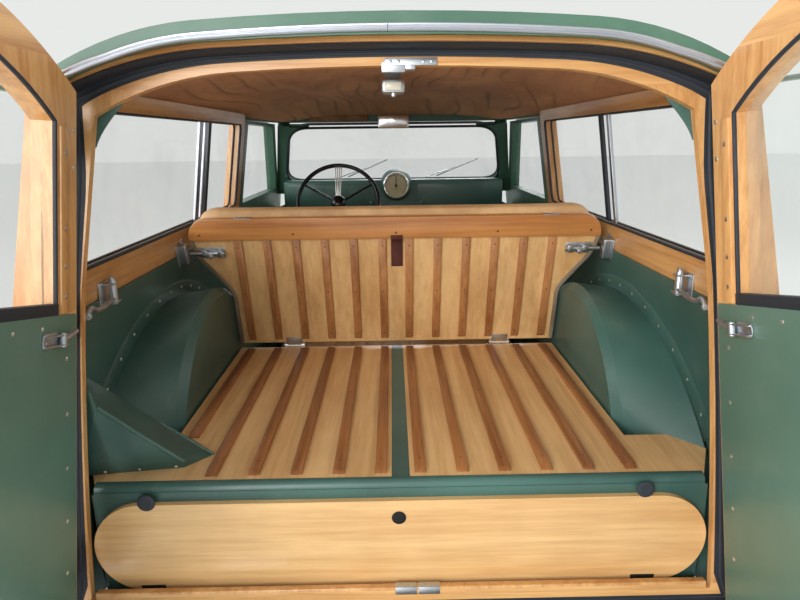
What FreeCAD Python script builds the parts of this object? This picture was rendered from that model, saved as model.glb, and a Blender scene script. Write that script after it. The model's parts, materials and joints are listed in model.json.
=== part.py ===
"""A half-timbered station wagon of the nineteen fifties, two side doors and two tail doors.

Forward is +Y, the car's right is +X, up is +Z, and the wheels stand on z = 0. All sizes are millimetres.
Distances named ..._ahead or in a table's y column are measured forward from the rear axle.
The steel front half, the ash frame of the rear half, the doors, the bonnet, the seats, the wheels and the
running gear are separate pieces. The tail doors are shown open, square to the tail.
"""

import FreeCAD
import Part
import math
import os

Vector = FreeCAD.Vector
Rotation = FreeCAD.Rotation

# Driving dimensions: name, value, meaning
SIZES = [
    # Wheels and running gear
    ("rear_axle_y", -696.34, "rear axle in the part's frame"),
    ("wheelbase", 2184.0, "front axle ahead of the rear axle"),
    ("front_track", 1286.0, "between the middles of the front tyres"),
    ("rear_track", 1276.0, "between the middles of the rear tyres"),
    ("tyre_radius", 300.0, "outer radius of the tyre"),
    ("tyre_width", 132.0, "section width of the tyre"),
    ("rim_radius", 178.0, "seat of the tyre on the rim"),
    ("rim_width", 104.0, "width of the rim"),
    ("rim_wall", 6.0, "wheel metal"),
    ("hub_radius", 34.0, "wheel hub"),
    ("stub_radius", 15.0, "stub axle"),
    ("running_gap", 0.05, "radial running clearance of shafts and pins"),
    ("kingpin_x", 540.0, "steering axis from the middle"),
    ("kingpin_radius", 12.0, "kingpin"),
    ("kingpin_height", 200.0, "kingpin between the suspension arms"),
    ("arm_height", 22.0, "suspension arm"),
    ("arm_width", 60.0, "suspension arm"),
    ("crossmember_half", 300.0, "half length of the front crossmember"),
    ("axle_tube_radius", 32.0, "rear axle tube"),
    ("axle_half", 565.0, "half length of the rear axle tube"),
    ("diff_radius", 105.0, "differential housing"),
    ("spring_x", 430.0, "leaf spring from the middle"),
    ("spring_width", 45.0, "leaf spring"),
    ("spring_reach", 530.0, "spring eye from the axle"),
    ("spring_rise", 66.0, "spring eye above the axle seat"),
    ("spring_leaves", 14.0, "thickness of the leaf pack"),
    ("engine_width", 300.0, "engine block"),
    ("engine_length", 600.0, "engine block"),
    ("engine_height", 400.0, "engine block"),
    ("engine_bottom", 345.0, "underside of the engine above the ground"),
    ("engine_setback", 354.0, "rear of the engine behind the front axle"),
    ("gearbox_length", 560.0, "gearbox behind the engine"),
    ("gearbox_width", 180.0, "gearbox"),
    ("gearbox_height", 170.0, "gearbox"),
    ("gearbox_bottom", 265.0, "underside of the gearbox"),
    ("shaft_radius", 26.0, "propeller shaft"),
    ("exhaust_radius", 19.0, "exhaust pipe"),
    ("exhaust_x", 210.0, "exhaust pipe from the middle"),
    ("exhaust_z", 208.0, "exhaust pipe above the ground"),
    ("silencer_radius", 55.0, "silencer"),
    ("silencer_length", 400.0, "silencer"),
    ("tank_length", 380.0, "fuel tank"),
    ("tank_width", 620.0, "fuel tank"),
    ("tank_height", 120.0, "fuel tank"),
    # Body outline
    ("sill_bottom", 250.0, "lower edge of the body side"),
    ("sill_half", 688.0, "half width at the lower edge"),
    ("flank_z", 640.0, "height of the widest part of the side"),
    ("flank_half", 702.0, "half width there"),
    ("waist_z", 1063.0, "window sill"),
    ("waist_half", 672.0, "half width at the window sill"),
    ("gutter_z", 1398.0, "lower edge of the roof"),
    ("gutter_half", 620.0, "half width at the roof's lower edge"),
    ("timber", 45.0, "thickness of the ash frame and the doors"),
    ("lining", 5.0, "inner side panel"),
    ("panel", 4.0, "outer metal panel in the frame"),
    ("panel_depth", 16.0, "panel behind the outer face of the ash"),
    ("glass", 4.0, "window glass"),
    ("seat_gap", 0.3, "clearance of a piece in its seat"),
    ("door_gap", 6.0, "gap round a door"),
    # Roof
    ("roof_thickness", 36.0, "roof panel with its edge"),
    ("roof_foot", 4.0, "gutter below the roof's lower edge"),
    ("roof_header", 45.0, "roof edge over the screen, front to back"),
    ("roof_overhang", 26.0, "roof behind the tail posts"),
    ("lining_gap", 4.0, "air above the headlining"),
    ("headlining", 8.0, "headlining cloth and its wires"),
    # Tail frame and tail doors
    ("tail_y", -832.0, "rear face of the tail posts at their foot"),
    ("tail_foot_z", 415.0, "foot of the tail frame"),
    ("tail_lean", 8.0, "tail leans forward, degrees"),
    ("tail_depth", 60.0, "tail posts, front to back"),
    ("tail_rebate", 46.0, "depth of the rebate that the tail doors close into"),
    ("tail_side_foot", 82.0, "width of a tail post beside the opening, at its foot"),
    ("tail_side_flank", 100.0, "width of a tail post at the body's widest"),
    ("tail_side_waist", 95.0, "width of a tail post at the window sill"),
    ("tail_side_top", 88.0, "width of a tail post at its top"),
    ("tail_top", 22.0, "height of the tail header below the doors' top"),
    ("tail_bottom", 42.0, "height of the tail sill"),
    ("tail_eaves", 80.0, "rise of the tail opening's top from corner to middle"),
    ("tail_door_thickness", 40.0, "tail door"),
    ("tail_door_foot", 20.0, "lower edge of a tail door above the frame's foot"),
    ("tail_door_top", 1464.0, "top of the tail doors at the middle"),
    ("tail_door_eaves", 72.0, "rise of the tail doors' top from corner to middle"),
    ("tail_door_half", 645.0, "hinge edge of a tail door at its foot"),
    ("tail_door_tilt", 4.5, "hinge edge leans in, degrees"),
    ("tail_door_stile", 62.0, "stiles and rails of a tail door"),
    ("tail_door_waist", 1030.0, "top of the tail door's waist rail"),
    ("tail_door_sheet", 6.0, "inner sheet of a tail door"),
    ("tail_door_open", 90.0, "tail doors stand open, degrees"),
    ("meeting_gap", 3.0, "half the gap between the tail doors"),
    ("hinge_pin", 5.0, "door hinge pin"),
    ("hinge_barrel", 9.0, "door hinge barrel"),
    ("hinge_stand", 9.6, "pin of a tail door behind the tail's rear face"),
    ("hinge_height", 40.0, "middle knuckle of a hinge"),
    ("hinge_plate", 4.0, "hinge plate"),
    ("knuckle_gap", 1.5, "gap between the knuckles of a hinge"),
    # Side frame
    ("b_post_y", 620.0, "rear face of the middle post, ahead of the axle"),
    ("b_post_width", 70.0, "middle post"),
    ("rail_height", 73.0, "waist rail"),
    ("window_top", 1376.0, "upper edge of the side window"),
    ("window_rear_y", -640.0, "rear edge of the side window"),
    ("arch_timber", 42.0, "ash along the wheel arch"),
    ("strut_y", 262.0, "upright over the front of the arch"),
    ("strut_width", 48.0, "upright over the front of the arch"),
    ("lower_rail", 70.0, "lower ash rail"),
    # Front doors and screen
    ("door_front_y", 1554.0, "front edge of the side door"),
    ("door_bottom", 300.0, "lower edge of the side door"),
    ("door_frame", 48.0, "frame round the door window"),
    ("door_hinge_x", 716.0, "pin of the side door from the middle"),
    ("door_hinge_low", 430.0, "lower hinge of the side door"),
    ("door_hinge_high", 880.0, "upper hinge of the side door"),
    ("a_post_depth", 74.0, "front post, front to back"),
    ("cowl_z", 1090.0, "top of the scuttle"),
    ("cowl_metal", 14.0, "scuttle metal with its flanges"),
    ("cowl_low", 900.0, "lower edge of the scuttle's sides"),
    ("firewall_y", 1640.0, "bulkhead"),
    ("screen_foot_y", 1585.0, "foot of the screen frame"),
    ("screen_foot_z", 1075.0, "foot of the screen frame"),
    ("screen_head_y", 1342.0, "head of the screen frame"),
    ("screen_foot_half", 640.0, "half width of the frame's foot"),
    ("screen_head_half", 566.0, "half width of the frame's head"),
    ("screen_frame", 58.0, "width of the screen pillars"),
    ("screen_depth", 34.0, "thickness of the screen frame"),
    ("screen_sill", 34.0, "lower bar of the screen frame"),
    # Load floor, seats and tail panel
    ("load_floor_z", 671.0, "top of the load floor boards"),
    ("board", 12.0, "plywood"),
    ("load_front_y", 58.0, "front edge of the load floor"),
    ("load_rear_y", -722.0, "rear edge of the load floor"),
    ("load_half", 497.0, "half width of the floor between the wheel arches"),
    ("load_wing_half", 646.0, "half width of the floor behind the arches"),
    ("load_wing_y", -566.0, "floor widens behind the arches"),
    ("floor_strip", 36.0, "steel strip between the two boards"),
    ("load_taper_y", -632.0, "floor narrows again to the tail"),
    ("load_rear_half", 597.0, "half width of the floor's rear edge"),
    ("spare_board_half", 600.0, "half length of the spare wheel board"),
    ("spare_board_height", 192.0, "spare wheel board"),
    ("spare_board_z", 447.0, "lower edge of the spare wheel board"),
    ("spare_hole_half", 430.0, "half width of the spare wheel's opening"),
    ("spare_board_y", -752.0, "spare wheel board, ahead of the axle"),
    ("well_floor_z", 440.0, "top of the spare wheel shelf"),
    ("well_front_y", -160.0, "front of the spare wheel shelf"),
    ("seat_recline", 15.0, "rear backrest leans back, degrees"),
    ("seat_hinge_y", 66.0, "hinge of the rear backrest"),
    ("seat_hinge_z", 676.0, "hinge of the rear backrest"),
    ("seat_foot", 10.0, "board above its hinge line"),
    ("seat_straight", 190.0, "straight lower part of the backrest's sides"),
    ("seat_shoulder", 310.0, "backrest board at its shoulders"),
    ("seat_shoulder_half", 578.0, "half width at the shoulders"),
    ("seat_height", 436.0, "backrest board above its hinge"),
    ("seat_top_half", 600.0, "half width of the backrest's top"),
    ("seat_pad", 100.0, "backrest upholstery"),
    ("seat_pad_rise", 48.0, "upholstery above the board"),
    ("seat_pad_top", 1143.0, "top of the backrest's upholstery above the ground"),
    ("seat_hinge_x", 328.0, "backrest hinge from the middle"),
    ("seat_leaf", 32.0, "backrest hinge leaf up the board"),
    ("seat_lap", 9.0, "board edge beside the upholstery"),
    ("cushion_top", 548.0, "top of the rear seat cushion"),
    ("cushion_depth", 455.0, "rear seat cushion"),
    ("cushion_height", 146.0, "rear seat cushion"),
    ("cushion_half", 486.0, "half width of the rear seat cushion"),
    ("heel_y", 560.0, "step in front of the rear seat"),
    ("floor_z", 244.0, "top of the front floor"),
    ("floor_half", 642.0, "half width of the front floor"),
    ("plate", 8.0, "floor and bulkhead plates with their ribs"),
    ("sill_width", 44.0, "inner sill"),
    ("tunnel_half", 112.0, "half width of the gearbox tunnel"),
    ("tunnel_top", 462.0, "top of the gearbox tunnel"),
    ("shaft_tunnel_half", 62.0, "half width of the shaft tunnel"),
    ("shaft_tunnel_top", 372.0, "top of the shaft tunnel"),
    ("tunnel_y", 1255.0, "rear of the gearbox tunnel"),
    ("front_seat_x", 300.0, "front seat from the middle"),
    ("front_seat_width", 440.0, "front seat"),
    ("front_seat_y", 770.0, "rear of the front seat cushion"),
    ("front_seat_depth", 470.0, "front seat cushion"),
    ("front_cushion_top", 500.0, "top of the front seat cushion"),
    ("front_cushion_height", 150.0, "front seat cushion"),
    ("front_back_height", 470.0, "front backrest"),
    ("front_back_depth", 95.0, "front backrest"),
    # Wheel arches inside the body
    ("arch_y", -128.0, "middle of the inner wheel arch"),
    ("arch_wall_x", 645.0, "arch at the body side"),
    ("arch_wall_z", 174.0, "centre of the arch at the body side"),
    ("arch_wall_radius", 706.0, "arch at the body side"),
    ("arch_ridge_z", 508.0, "centre of the arch's ridge"),
    ("arch_ridge_radius", 396.0, "ridge of the arch"),
    ("arch_ridge_x", 522.0, "ridge from the middle"),
    ("arch_face_x", 503.0, "inner face of the arch"),
    ("arch_metal", 7.0, "arch metal"),
    ("arch_foot", 420.0, "lower edge of the arch"),
    # Dashboard and steering
    ("dash_y", 1450.0, "face of the dashboard"),
    ("dash_depth", 70.0, "dashboard, front to back"),
    ("dash_top", 1104.0, "top of the dashboard"),
    ("dash_bottom", 950.0, "lower edge of the dashboard"),
    ("dash_half", 580.0, "half width of the dashboard"),
    ("steering_x", -265.0, "steering wheel, on the left"),
    ("steering_y", 1130.0, "middle of the steering wheel"),
    ("steering_z", 1020.0, "middle of the steering wheel"),
    ("steering_radius", 203.0, "steering wheel"),
    ("steering_rim", 10.0, "radius of the rim's section"),
    ("steering_rake", 28.0, "column above the horizontal, degrees"),
    ("column_radius", 24.0, "column tube"),
    ("column_start", 60.0, "column tube ahead of the steering wheel"),
    ("column_base", 50.0, "half width and half height of the column's foot"),
    ("spindle_radius", 9.0, "steering spindle"),
    # Front
    ("wing_metal", 12.0, "wing with its flange"),
    ("wing_rear_y", 1586.0, "rear edge of the front wing"),
    ("bonnet_metal", 20.0, "bonnet with its frame"),
    ("bonnet_rear_y", 1708.0, "rear edge of the bonnet"),
    ("wheel_opening", 354.0, "front wheel opening"),
    ("rear_opening", 322.0, "rear wheel opening"),
    ("wing_reach", 733.0, "radius of the rear wing's outline"),
    ("inner_wing_x", 386.0, "inner wing panel"),
    ("inner_wing_low", 430.0, "lower edge of the inner wing panel"),
    ("headlamp_x", 541.0, "headlamp from the middle"),
    ("headlamp_z", 744.0, "headlamp above the ground"),
    ("headlamp_radius", 96.0, "headlamp rim"),
    ("headlamp_rim_y", 2792.0, "front of the headlamp's rim"),
    ("headlamp_depth", 152.0, "headlamp shell, front to back"),
    ("headlamp_edge", 12.0, "rim round the headlamp's glass"),
    ("lens_radius", 220.0, "curve of the headlamp's glass"),
    ("front_panel_y", 2700.0, "front panel"),
    ("front_panel_depth", 40.0, "front panel"),
    ("front_panel_low", 430.0, "lower edge of the front panel"),
    ("grille_half", 262.0, "half width of the grille"),
    ("grille_low", 484.0, "lower edge of the grille"),
    ("grille_top", 742.0, "upper edge of the grille"),
    ("grille_bar", 7.0, "grille bar"),
    ("grille_bars", 9.0, "number of grille bars"),
    ("bumper_y", 2820.0, "back of the front bumper blade"),
    ("bumper_z", 395.0, "lower edge of the front bumper"),
    ("bumper_height", 84.0, "bumper blade"),
    ("bumper_thickness", 24.0, "bumper blade"),
    ("bumper_half", 735.0, "half width of the bumpers"),
    ("overrider_x", 310.0, "overrider from the middle"),
    ("rear_bumper_z", 312.0, "lower edge of the rear bumpers"),
    ("rear_bumper_y", -880.0, "front face of the rear bumpers"),
    ("rear_bumper_gap", 250.0, "rear quarter bumper from the middle"),
    ("tail_lamp_height", 150.0, "tail lamp"),
    ("tail_lamp_width", 34.0, "tail lamp"),
    ("tail_lamp_depth", 42.0, "tail lamp"),
    ("tail_lamp_z", 800.0, "tail lamp"),
    ("jack_radius", 14.0, "jacking socket"),
    ("jack_depth", 52.0, "jacking socket"),
    ("jack_y", 1080.0, "jacking socket, ahead of the rear axle"),
]

doc = FreeCAD.newDocument("station_wagon")
sheet = doc.addObject("Spreadsheet::Sheet", "Sizes")
for row, (alias, value, meaning) in enumerate(SIZES, start=1):
    sheet.set(f"A{row}", alias)
    sheet.set(f"B{row}", str(value))
    sheet.setAlias(f"B{row}", alias)
    sheet.set(f"C{row}", meaning)
doc.recompute()


class Sheet:
    """Reads the driving dimensions from the spreadsheet by name."""

    def __getattr__(self, alias):
        return float(sheet.get(alias))


S = Sheet()
MIRROR = (Vector(0, 0, 0), Vector(1, 0, 0))
SIDES = (("left", -1), ("right", 1))

# Limits of cutting boxes, clear of the whole body
CLEAR_X = S.flank_half + 200.0
CLEAR_REAR = S.tail_y - 100.0
CLEAR_FRONT = 3000.0
CLEAR_TOP = S.gutter_z + 300.0


# Small helpers

FRONT_AXLE = 2184.0
CABIN_REAR = 750.0
CABIN_FRONT = 1290.0
STRETCH = S.wheelbase - FRONT_AXLE


def ahead(y):
    """Y in the part's frame of a point y ahead of the rear axle, as drawn with the front axle at FRONT_AXLE.

    Another wheelbase makes the cabin between CABIN_REAR and CABIN_FRONT longer or shorter.
    """
    share = min(max((y - CABIN_REAR) / (CABIN_FRONT - CABIN_REAR), 0.0), 1.0)
    return S.rear_axle_y + y + share * STRETCH


def at_y(y):
    """Maps (x, z) to the upright plane across the car at y ahead of the axle."""
    return lambda a, b: Vector(a, ahead(y), b)


def at_x(x):
    """Maps (y ahead of the axle, z) to the upright plane along the car at x."""
    return lambda a, b: Vector(x, ahead(a), b)


def at_z(z):
    """Maps (x, y ahead of the axle) to the level plane at z."""
    return lambda a, b: Vector(a, ahead(b), z)


def wire(plane, start, *steps):
    """Closed wire on a plane. A step is a corner (a, b) or an arc ((a, b) on the way, (a, b) at its end)."""
    edges = []
    here = plane(*start)
    first = here
    for step in steps:
        if isinstance(step[0], tuple):
            end = plane(*step[1])
            edges.append(Part.Arc(here, plane(*step[0]), end).toShape())
        else:
            end = plane(*step)
            if end.distanceToPoint(here) > 1e-6:
                edges.append(Part.makeLine(here, end))
        here = end
    if here.distanceToPoint(first) > 1e-6:
        edges.append(Part.makeLine(here, first))
    return Part.Wire(edges)


def prism(outline, direction):
    """Solid swept from a closed wire along a vector."""
    return Part.Face(outline).extrude(direction)


def block(x0, x1, y0, y1, z0, z1):
    """Box between x0..x1, y0..y1 ahead of the axle, and z0..z1."""
    return Part.makeBox(x1 - x0, ahead(y1) - ahead(y0), z1 - z0, Vector(x0, ahead(y0), z0))


def rod(radius, start, end):
    """Cylinder between two points in the part's frame."""
    axis = end.sub(start)
    return Part.makeCylinder(radius, axis.Length, start, axis)


def fuse(shapes):
    """One clean solid from shapes that overlap or touch."""
    return shapes[0].multiFuse(shapes[1:]).removeSplitter() if len(shapes) > 1 else shapes[0]


def both_sides(shape):
    """A piece and its mirror image as one compound of solids."""
    return Part.Compound(shape.Solids + shape.mirror(*MIRROR).Solids)


def piece(label, shape):
    """One named sub-part whose shape is worked out above it."""
    feature = doc.addObject("Part::Feature", label)
    feature.Label = label
    feature.Shape = Part.Compound(shape.Solids)
    PIECES.append(feature)
    return feature


PIECES = []


def sized_box(name, length, width, height, x, y, z):
    """Part::Box whose sizes and place are expressions on the spreadsheet."""
    box = doc.addObject("Part::Box", name)
    for prop, text in (("Length", length), ("Width", width), ("Height", height),
                       ("Placement.Base.x", x), ("Placement.Base.y", y), ("Placement.Base.z", z)):
        box.setExpression(prop, text.replace("#", "Sizes."))
    return box


def sized_cylinder(name, radius, height, x, y, z, axis):
    """Part::Cylinder along axis, whose sizes and place are expressions on the spreadsheet."""
    cylinder = doc.addObject("Part::Cylinder", name)
    cylinder.Placement = FreeCAD.Placement(Vector(0, 0, 0), Rotation(Vector(0, 0, 1), axis))
    for prop, text in (("Radius", radius), ("Height", height),
                       ("Placement.Base.x", x), ("Placement.Base.y", y), ("Placement.Base.z", z)):
        cylinder.setExpression(prop, text.replace("#", "Sizes."))
    return cylinder


def sized_fusion(label, parts):
    """Named sub-part fused from primitives of the document."""
    fusion = doc.addObject("Part::MultiFuse", label)
    fusion.Label = label
    fusion.Shapes = parts
    PIECES.append(fusion)
    return fusion


# Body outline shared by the sides, doors, tail frame and wings

def side_line(inset, z_low):
    """Points of the body side, set in by inset: foot, flank, waist, gutter."""
    return [(S.sill_half - inset, z_low), (S.flank_half - inset, S.flank_z),
            (S.waist_half - inset, S.waist_z), (S.gutter_half - inset, S.gutter_z)]


def side_slab(outer, inner, y0, y1):
    """Right side of the body between two depths below its outer face, from y0 to y1."""
    foot, flank, waist, gutter = side_line(outer, S.sill_bottom)
    foot_in, flank_in, waist_in, gutter_in = side_line(inner, S.sill_bottom)
    section = wire(at_y(y0), foot, (flank, waist), gutter, gutter_in, waist_in, (flank_in, foot_in))
    return prism(section, Vector(0, ahead(y1) - ahead(y0), 0))


def side_window(y0, y1, z0, z1):
    """Cutter through the body side."""
    return block(0, S.flank_half + S.timber, y0, y1, z0, z1)


# Tail frame's own axes: x across, y forward through the frame, z up along the lean

LEAN = math.radians(S.tail_lean)
TAIL = FreeCAD.Placement(Vector(0, ahead(S.tail_y), S.tail_foot_z), Rotation(Vector(1, 0, 0), -S.tail_lean))
TAIL_FORWARD = TAIL.Rotation.multVec(Vector(0, 1, 0))


def tail_height(z):
    """Distance up the leaning tail of a point at height z."""
    return (z - S.tail_foot_z) / math.cos(LEAN)


def at_tail(depth):
    """Maps (x, distance up the tail) to the leaning plane at depth in front of the posts' rear face."""
    return lambda a, b: TAIL.multVec(Vector(a, depth, b))


def tail_prism(outline, depth):
    """Solid from a wire on the tail, through a depth."""
    return prism(outline, TAIL_FORWARD * depth)


def behind_tail(depth):
    """Everything behind the leaning plane at depth in front of the posts' rear face."""
    reach = 3000.0
    box = Part.makeBox(2 * reach, reach, 2 * reach, Vector(-reach, -reach + depth, -reach))
    box.Placement = TAIL.multiply(box.Placement)
    return box


def hinge_edge(v):
    """Half width of the tail doors' hinge edge at distance v up the tail."""
    return S.tail_door_half - v * math.tan(math.radians(S.tail_door_tilt))


# Roof: y ahead of the axle, half width, lower edge, crown
ROOF = [
    (-860, 600, S.gutter_z, 1490),
    (-450, 622, S.gutter_z, 1532),
    (350, 622, S.gutter_z, 1537),
    (950, 606, S.gutter_z, 1521),
    (1372, 560, S.gutter_z, 1466),
]
ARCH_FLAT = 0.54
ARCH_DROP = 0.1
ROOF_INNER = ROOF[:-1] + [(ROOF[-1][0] - S.roof_header, *ROOF[-1][1:])]


def shoulder(half, low, crown):
    """Middle and upper end of an arch's shoulder arc, tangent to the flatter arc over its middle."""
    rise = crown - low
    flat = ARCH_FLAT * half
    drop = ARCH_DROP * rise
    slope = 2 * math.atan(drop / flat)
    chord = math.atan((rise - drop) / (half - flat))
    radius = math.hypot(rise - drop, half - flat) / (2 * math.sin(chord - slope))
    middle = (flat + radius * (math.sin(chord) - math.sin(slope)),
              crown - drop - radius * (math.cos(slope) - math.cos(chord)))
    return middle, (flat, crown - drop)


def arch_over(half, low, crown):
    """Arcs of a whole arch, from its right end over the crown to its left end."""
    middle, start = shoulder(half, low, crown)
    return [(middle, start), ((0, crown), (-start[0], start[1])), ((-middle[0], middle[1]), (-half, low))]


def half_arch(half, low, crown, x):
    """Arcs of a right half arch, from its end up to a point x from the middle."""
    middle, start = shoulder(half, low, crown)
    radius = (start[0] ** 2 + (crown - start[1]) ** 2) / (2 * (crown - start[1]))
    along = [(a, crown - radius + math.sqrt(radius ** 2 - a ** 2)) for a in ((start[0] + x) / 2, x)]
    return [(middle, start), tuple(along)]


def roof_section(y, half, low, crown, inset=0.0, foot=0.0):
    """Roof section set in all round, with a flat foot below its arch."""
    half = half - inset
    return wire(at_y(y), (-half, low - foot), (half, low - foot), (half, low),
                *arch_over(half, low, crown - inset))


def roof_loft(rows, inset=0.0, foot=0.0):
    """Solid through the roof's sections."""
    return Part.makeLoft([roof_section(*row, inset, foot) for row in rows], True, False)


def dome(y, half, low, crown, inset, foot, corner):
    """Section of the bonnet or scuttle: flat foot, two corner arcs and a crown arc tangent to them."""
    half = half - inset
    crown = crown - inset
    corner = max(corner - inset, 12.0)
    tilt = math.atan((crown - low - corner) / (half - corner))
    turn = math.pi / 2 - 2 * tilt
    end = (half - corner + corner * math.cos(turn), low + corner * math.sin(turn))
    mid = (half - corner + corner * math.cos(turn / 2), low + corner * math.sin(turn / 2))
    return wire(at_y(y), (-half, low - foot), (half, low - foot), (half, low),
                (mid, end), ((0, crown), (-end[0], end[1])), ((-mid[0], mid[1]), (-half, low)))


def dome_loft(rows, inset, foot, corner):
    """Solid through the sections of a table of y, half width, lower edge and crown."""
    return Part.makeLoft([dome(*row, inset, foot, corner) for row in rows], True, False)


roof_outer = roof_loft(ROOF, 0.0, S.roof_foot)
roof_void = roof_loft(ROOF_INNER, S.roof_thickness, 4 * S.roof_foot)
piece("roof", roof_outer.cut(roof_void).cut(behind_tail(-S.roof_overhang)))

lining_outer = roof_loft(ROOF_INNER, S.roof_thickness + S.lining_gap, 0.0)
lining_inner = roof_loft(ROOF_INNER, S.roof_thickness + S.lining_gap + S.headlining, S.headlining)
screen_zone = block(-CLEAR_X, CLEAR_X, S.screen_head_y - S.roof_header, CLEAR_FRONT, S.waist_z, CLEAR_TOP)
lining = lining_outer.cut(lining_inner).cut(screen_zone)
piece("headlining", lining.cut(behind_tail(S.tail_depth + S.seat_gap)))


# Tail frame: posts, header and sill round the opening, with the rebate for the doors

def tail_opening():
    """Outline of the tail opening, set in from the body side, the header and the sill."""
    insets = (S.tail_side_foot, S.tail_side_flank, S.tail_side_waist, S.tail_side_top)
    line = side_line(0, S.tail_foot_z)
    foot, flank, waist, gutter = [(x - inset, tail_height(z)) for (x, z), inset in zip(line, insets)]
    crown = tail_height(S.tail_door_top) - S.tail_top
    corner = (gutter[0], crown - S.tail_eaves)
    return wire(at_tail(-1), (foot[0], S.tail_bottom), (flank, waist), corner,
                *arch_over(*corner, crown), (-waist[0], waist[1]),
                ((-flank[0], flank[1]), (-foot[0], S.tail_bottom)))


def door_outline(depth, grow, centre):
    """Outline of the right tail door from its centre edge, or of both without one, grown all round."""
    low = S.tail_door_foot - grow
    high = tail_height(S.tail_door_top) + grow
    corner = high - S.tail_door_eaves
    bottom = (hinge_edge(low) + grow, low)
    top = (hinge_edge(corner) + grow, corner)
    if centre is None:
        return wire(at_tail(depth), bottom, top, *arch_over(*top, high), (-bottom[0], bottom[1]))
    return wire(at_tail(depth), bottom, top, *half_arch(*top, high, centre), (centre, low))


body_side = wire(at_y(CLEAR_REAR), (-S.sill_half, S.tail_foot_z), (-S.sill_half, S.tail_foot_z - 1),
                 (S.sill_half, S.tail_foot_z - 1), (S.sill_half, S.tail_foot_z),
                 ((S.flank_half, S.flank_z), (S.waist_half, S.waist_z)),
                 (S.gutter_half, S.gutter_z - S.roof_foot), (-S.gutter_half, S.gutter_z - S.roof_foot),
                 (-S.waist_half, S.waist_z),
                 ((-S.flank_half, S.flank_z), (-S.sill_half, S.tail_foot_z)))
under_roof = roof_loft(ROOF_INNER, S.roof_thickness + S.seat_gap, 2 * S.roof_foot)
tail_end = tail_height(CLEAR_TOP)
tail_sheet = wire(at_tail(0), (-CLEAR_X, 0), (CLEAR_X, 0), (CLEAR_X, tail_end), (-CLEAR_X, tail_end))
tail_slab = tail_prism(tail_sheet, S.tail_depth)
tail_solid = tail_slab.common(fuse([prism(body_side, Vector(0, -CLEAR_REAR, 0)), under_roof]))
rebate = tail_prism(door_outline(-1, S.door_gap, None), S.tail_rebate + 1)
opening = tail_prism(tail_opening(), S.tail_depth + 2)


# Hinges of the tail doors, in the tail's own axes

def hinge_point(v):
    """Pin of the right tail door at distance v up the tail."""
    return Vector(hinge_edge(v) + S.hinge_barrel, -S.hinge_stand, v)


HINGES = [tail_height(560), tail_height(1010), tail_height(1330)]
PIN_AXIS = hinge_point(HINGES[2]).sub(hinge_point(HINGES[0])).normalize()


def along_pin(v, offset):
    """Point on the pin line of the right tail door."""
    return TAIL.multVec(hinge_point(v).add(PIN_AXIS * offset))


def tail_hinge_fixed(v):
    """Pin with its two outer knuckles and the plate on the post."""
    reach = S.hinge_height
    pin = rod(S.hinge_pin, along_pin(v, -reach), along_pin(v, reach))
    pieces = [pin]
    for low in (-reach, S.hinge_height / 2 + S.knuckle_gap):
        high = low + reach - S.hinge_height / 2 - S.knuckle_gap
        pieces.append(rod(S.hinge_barrel, along_pin(v, low), along_pin(v, high)))
        x = hinge_edge(v) + S.hinge_barrel
        plate = Part.makeBox(2.6 * S.hinge_barrel, S.hinge_stand + 4, high - low,
                             Vector(x, -S.hinge_stand - 4, v + low))
        plate.Placement = TAIL.multiply(plate.Placement)
        pieces.append(plate)
    return fuse(pieces)


hoop = tail_solid.cut(rebate).cut(opening)
fixed_hinges = [tail_hinge_fixed(v) for v in HINGES]
fixed_hinges += [shape.mirror(*MIRROR) for shape in fixed_hinges]
hoop = fuse([hoop] + fixed_hinges)
piece("rear_hoop", hoop.cut(roof_outer.cut(roof_void)))

# Tail doors: built shut in the tail's axes, then swung open about their pins


def swing(shape, side):
    """A right door's shape swung open, mirrored for the left one."""
    turned = shape.copy()
    axis = TAIL.Rotation.multVec(PIN_AXIS)
    turned.rotate(along_pin(0, 0), axis, S.tail_door_open)
    return turned if side > 0 else turned.mirror(*MIRROR)


def tail_window():
    """Window of the right tail door, on the tail."""
    low = tail_height(S.tail_door_waist)
    high = tail_height(S.tail_door_top) - S.tail_door_stile
    corner = high - S.tail_door_eaves
    left = S.meeting_gap + S.tail_door_stile
    right = hinge_edge(low) - S.tail_door_stile
    right_high = hinge_edge(corner) - S.tail_door_stile
    return wire(at_tail(-1), (left, low), (right, low), (right_high, corner),
                *half_arch(right_high, corner, high, left))


def tail_panel_outline(margin):
    """Lower panel opening of the right tail door, on the tail."""
    low = S.tail_door_foot + margin
    high = tail_height(S.tail_door_waist) - margin
    return ((S.meeting_gap + margin, low), (hinge_edge(low) - margin, low),
            (hinge_edge(high) - margin, high), (S.meeting_gap + margin, high))


door_solid = tail_prism(door_outline(0, 0.0, S.meeting_gap), S.tail_door_thickness)
window = tail_prism(tail_window(), S.tail_door_thickness + 2)
sheet_edge = S.tail_door_stile * 0.2
sheet_depth = S.tail_door_thickness - S.tail_door_sheet
sheet_outline = wire(at_tail(sheet_depth), *tail_panel_outline(sheet_edge))
sheet_zone = tail_prism(sheet_outline, S.tail_door_sheet + 1)
inner_sheet = tail_prism(sheet_outline, S.tail_door_sheet)
panel_hole = tail_prism(wire(at_tail(-1), *tail_panel_outline(S.tail_door_stile)), S.tail_door_thickness + 2)
outer_panel = tail_prism(wire(at_tail(S.panel_depth), *tail_panel_outline(S.tail_door_stile)), S.panel)
tail_frame = door_solid.cut(window).cut(sheet_zone).cut(panel_hole)


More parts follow.
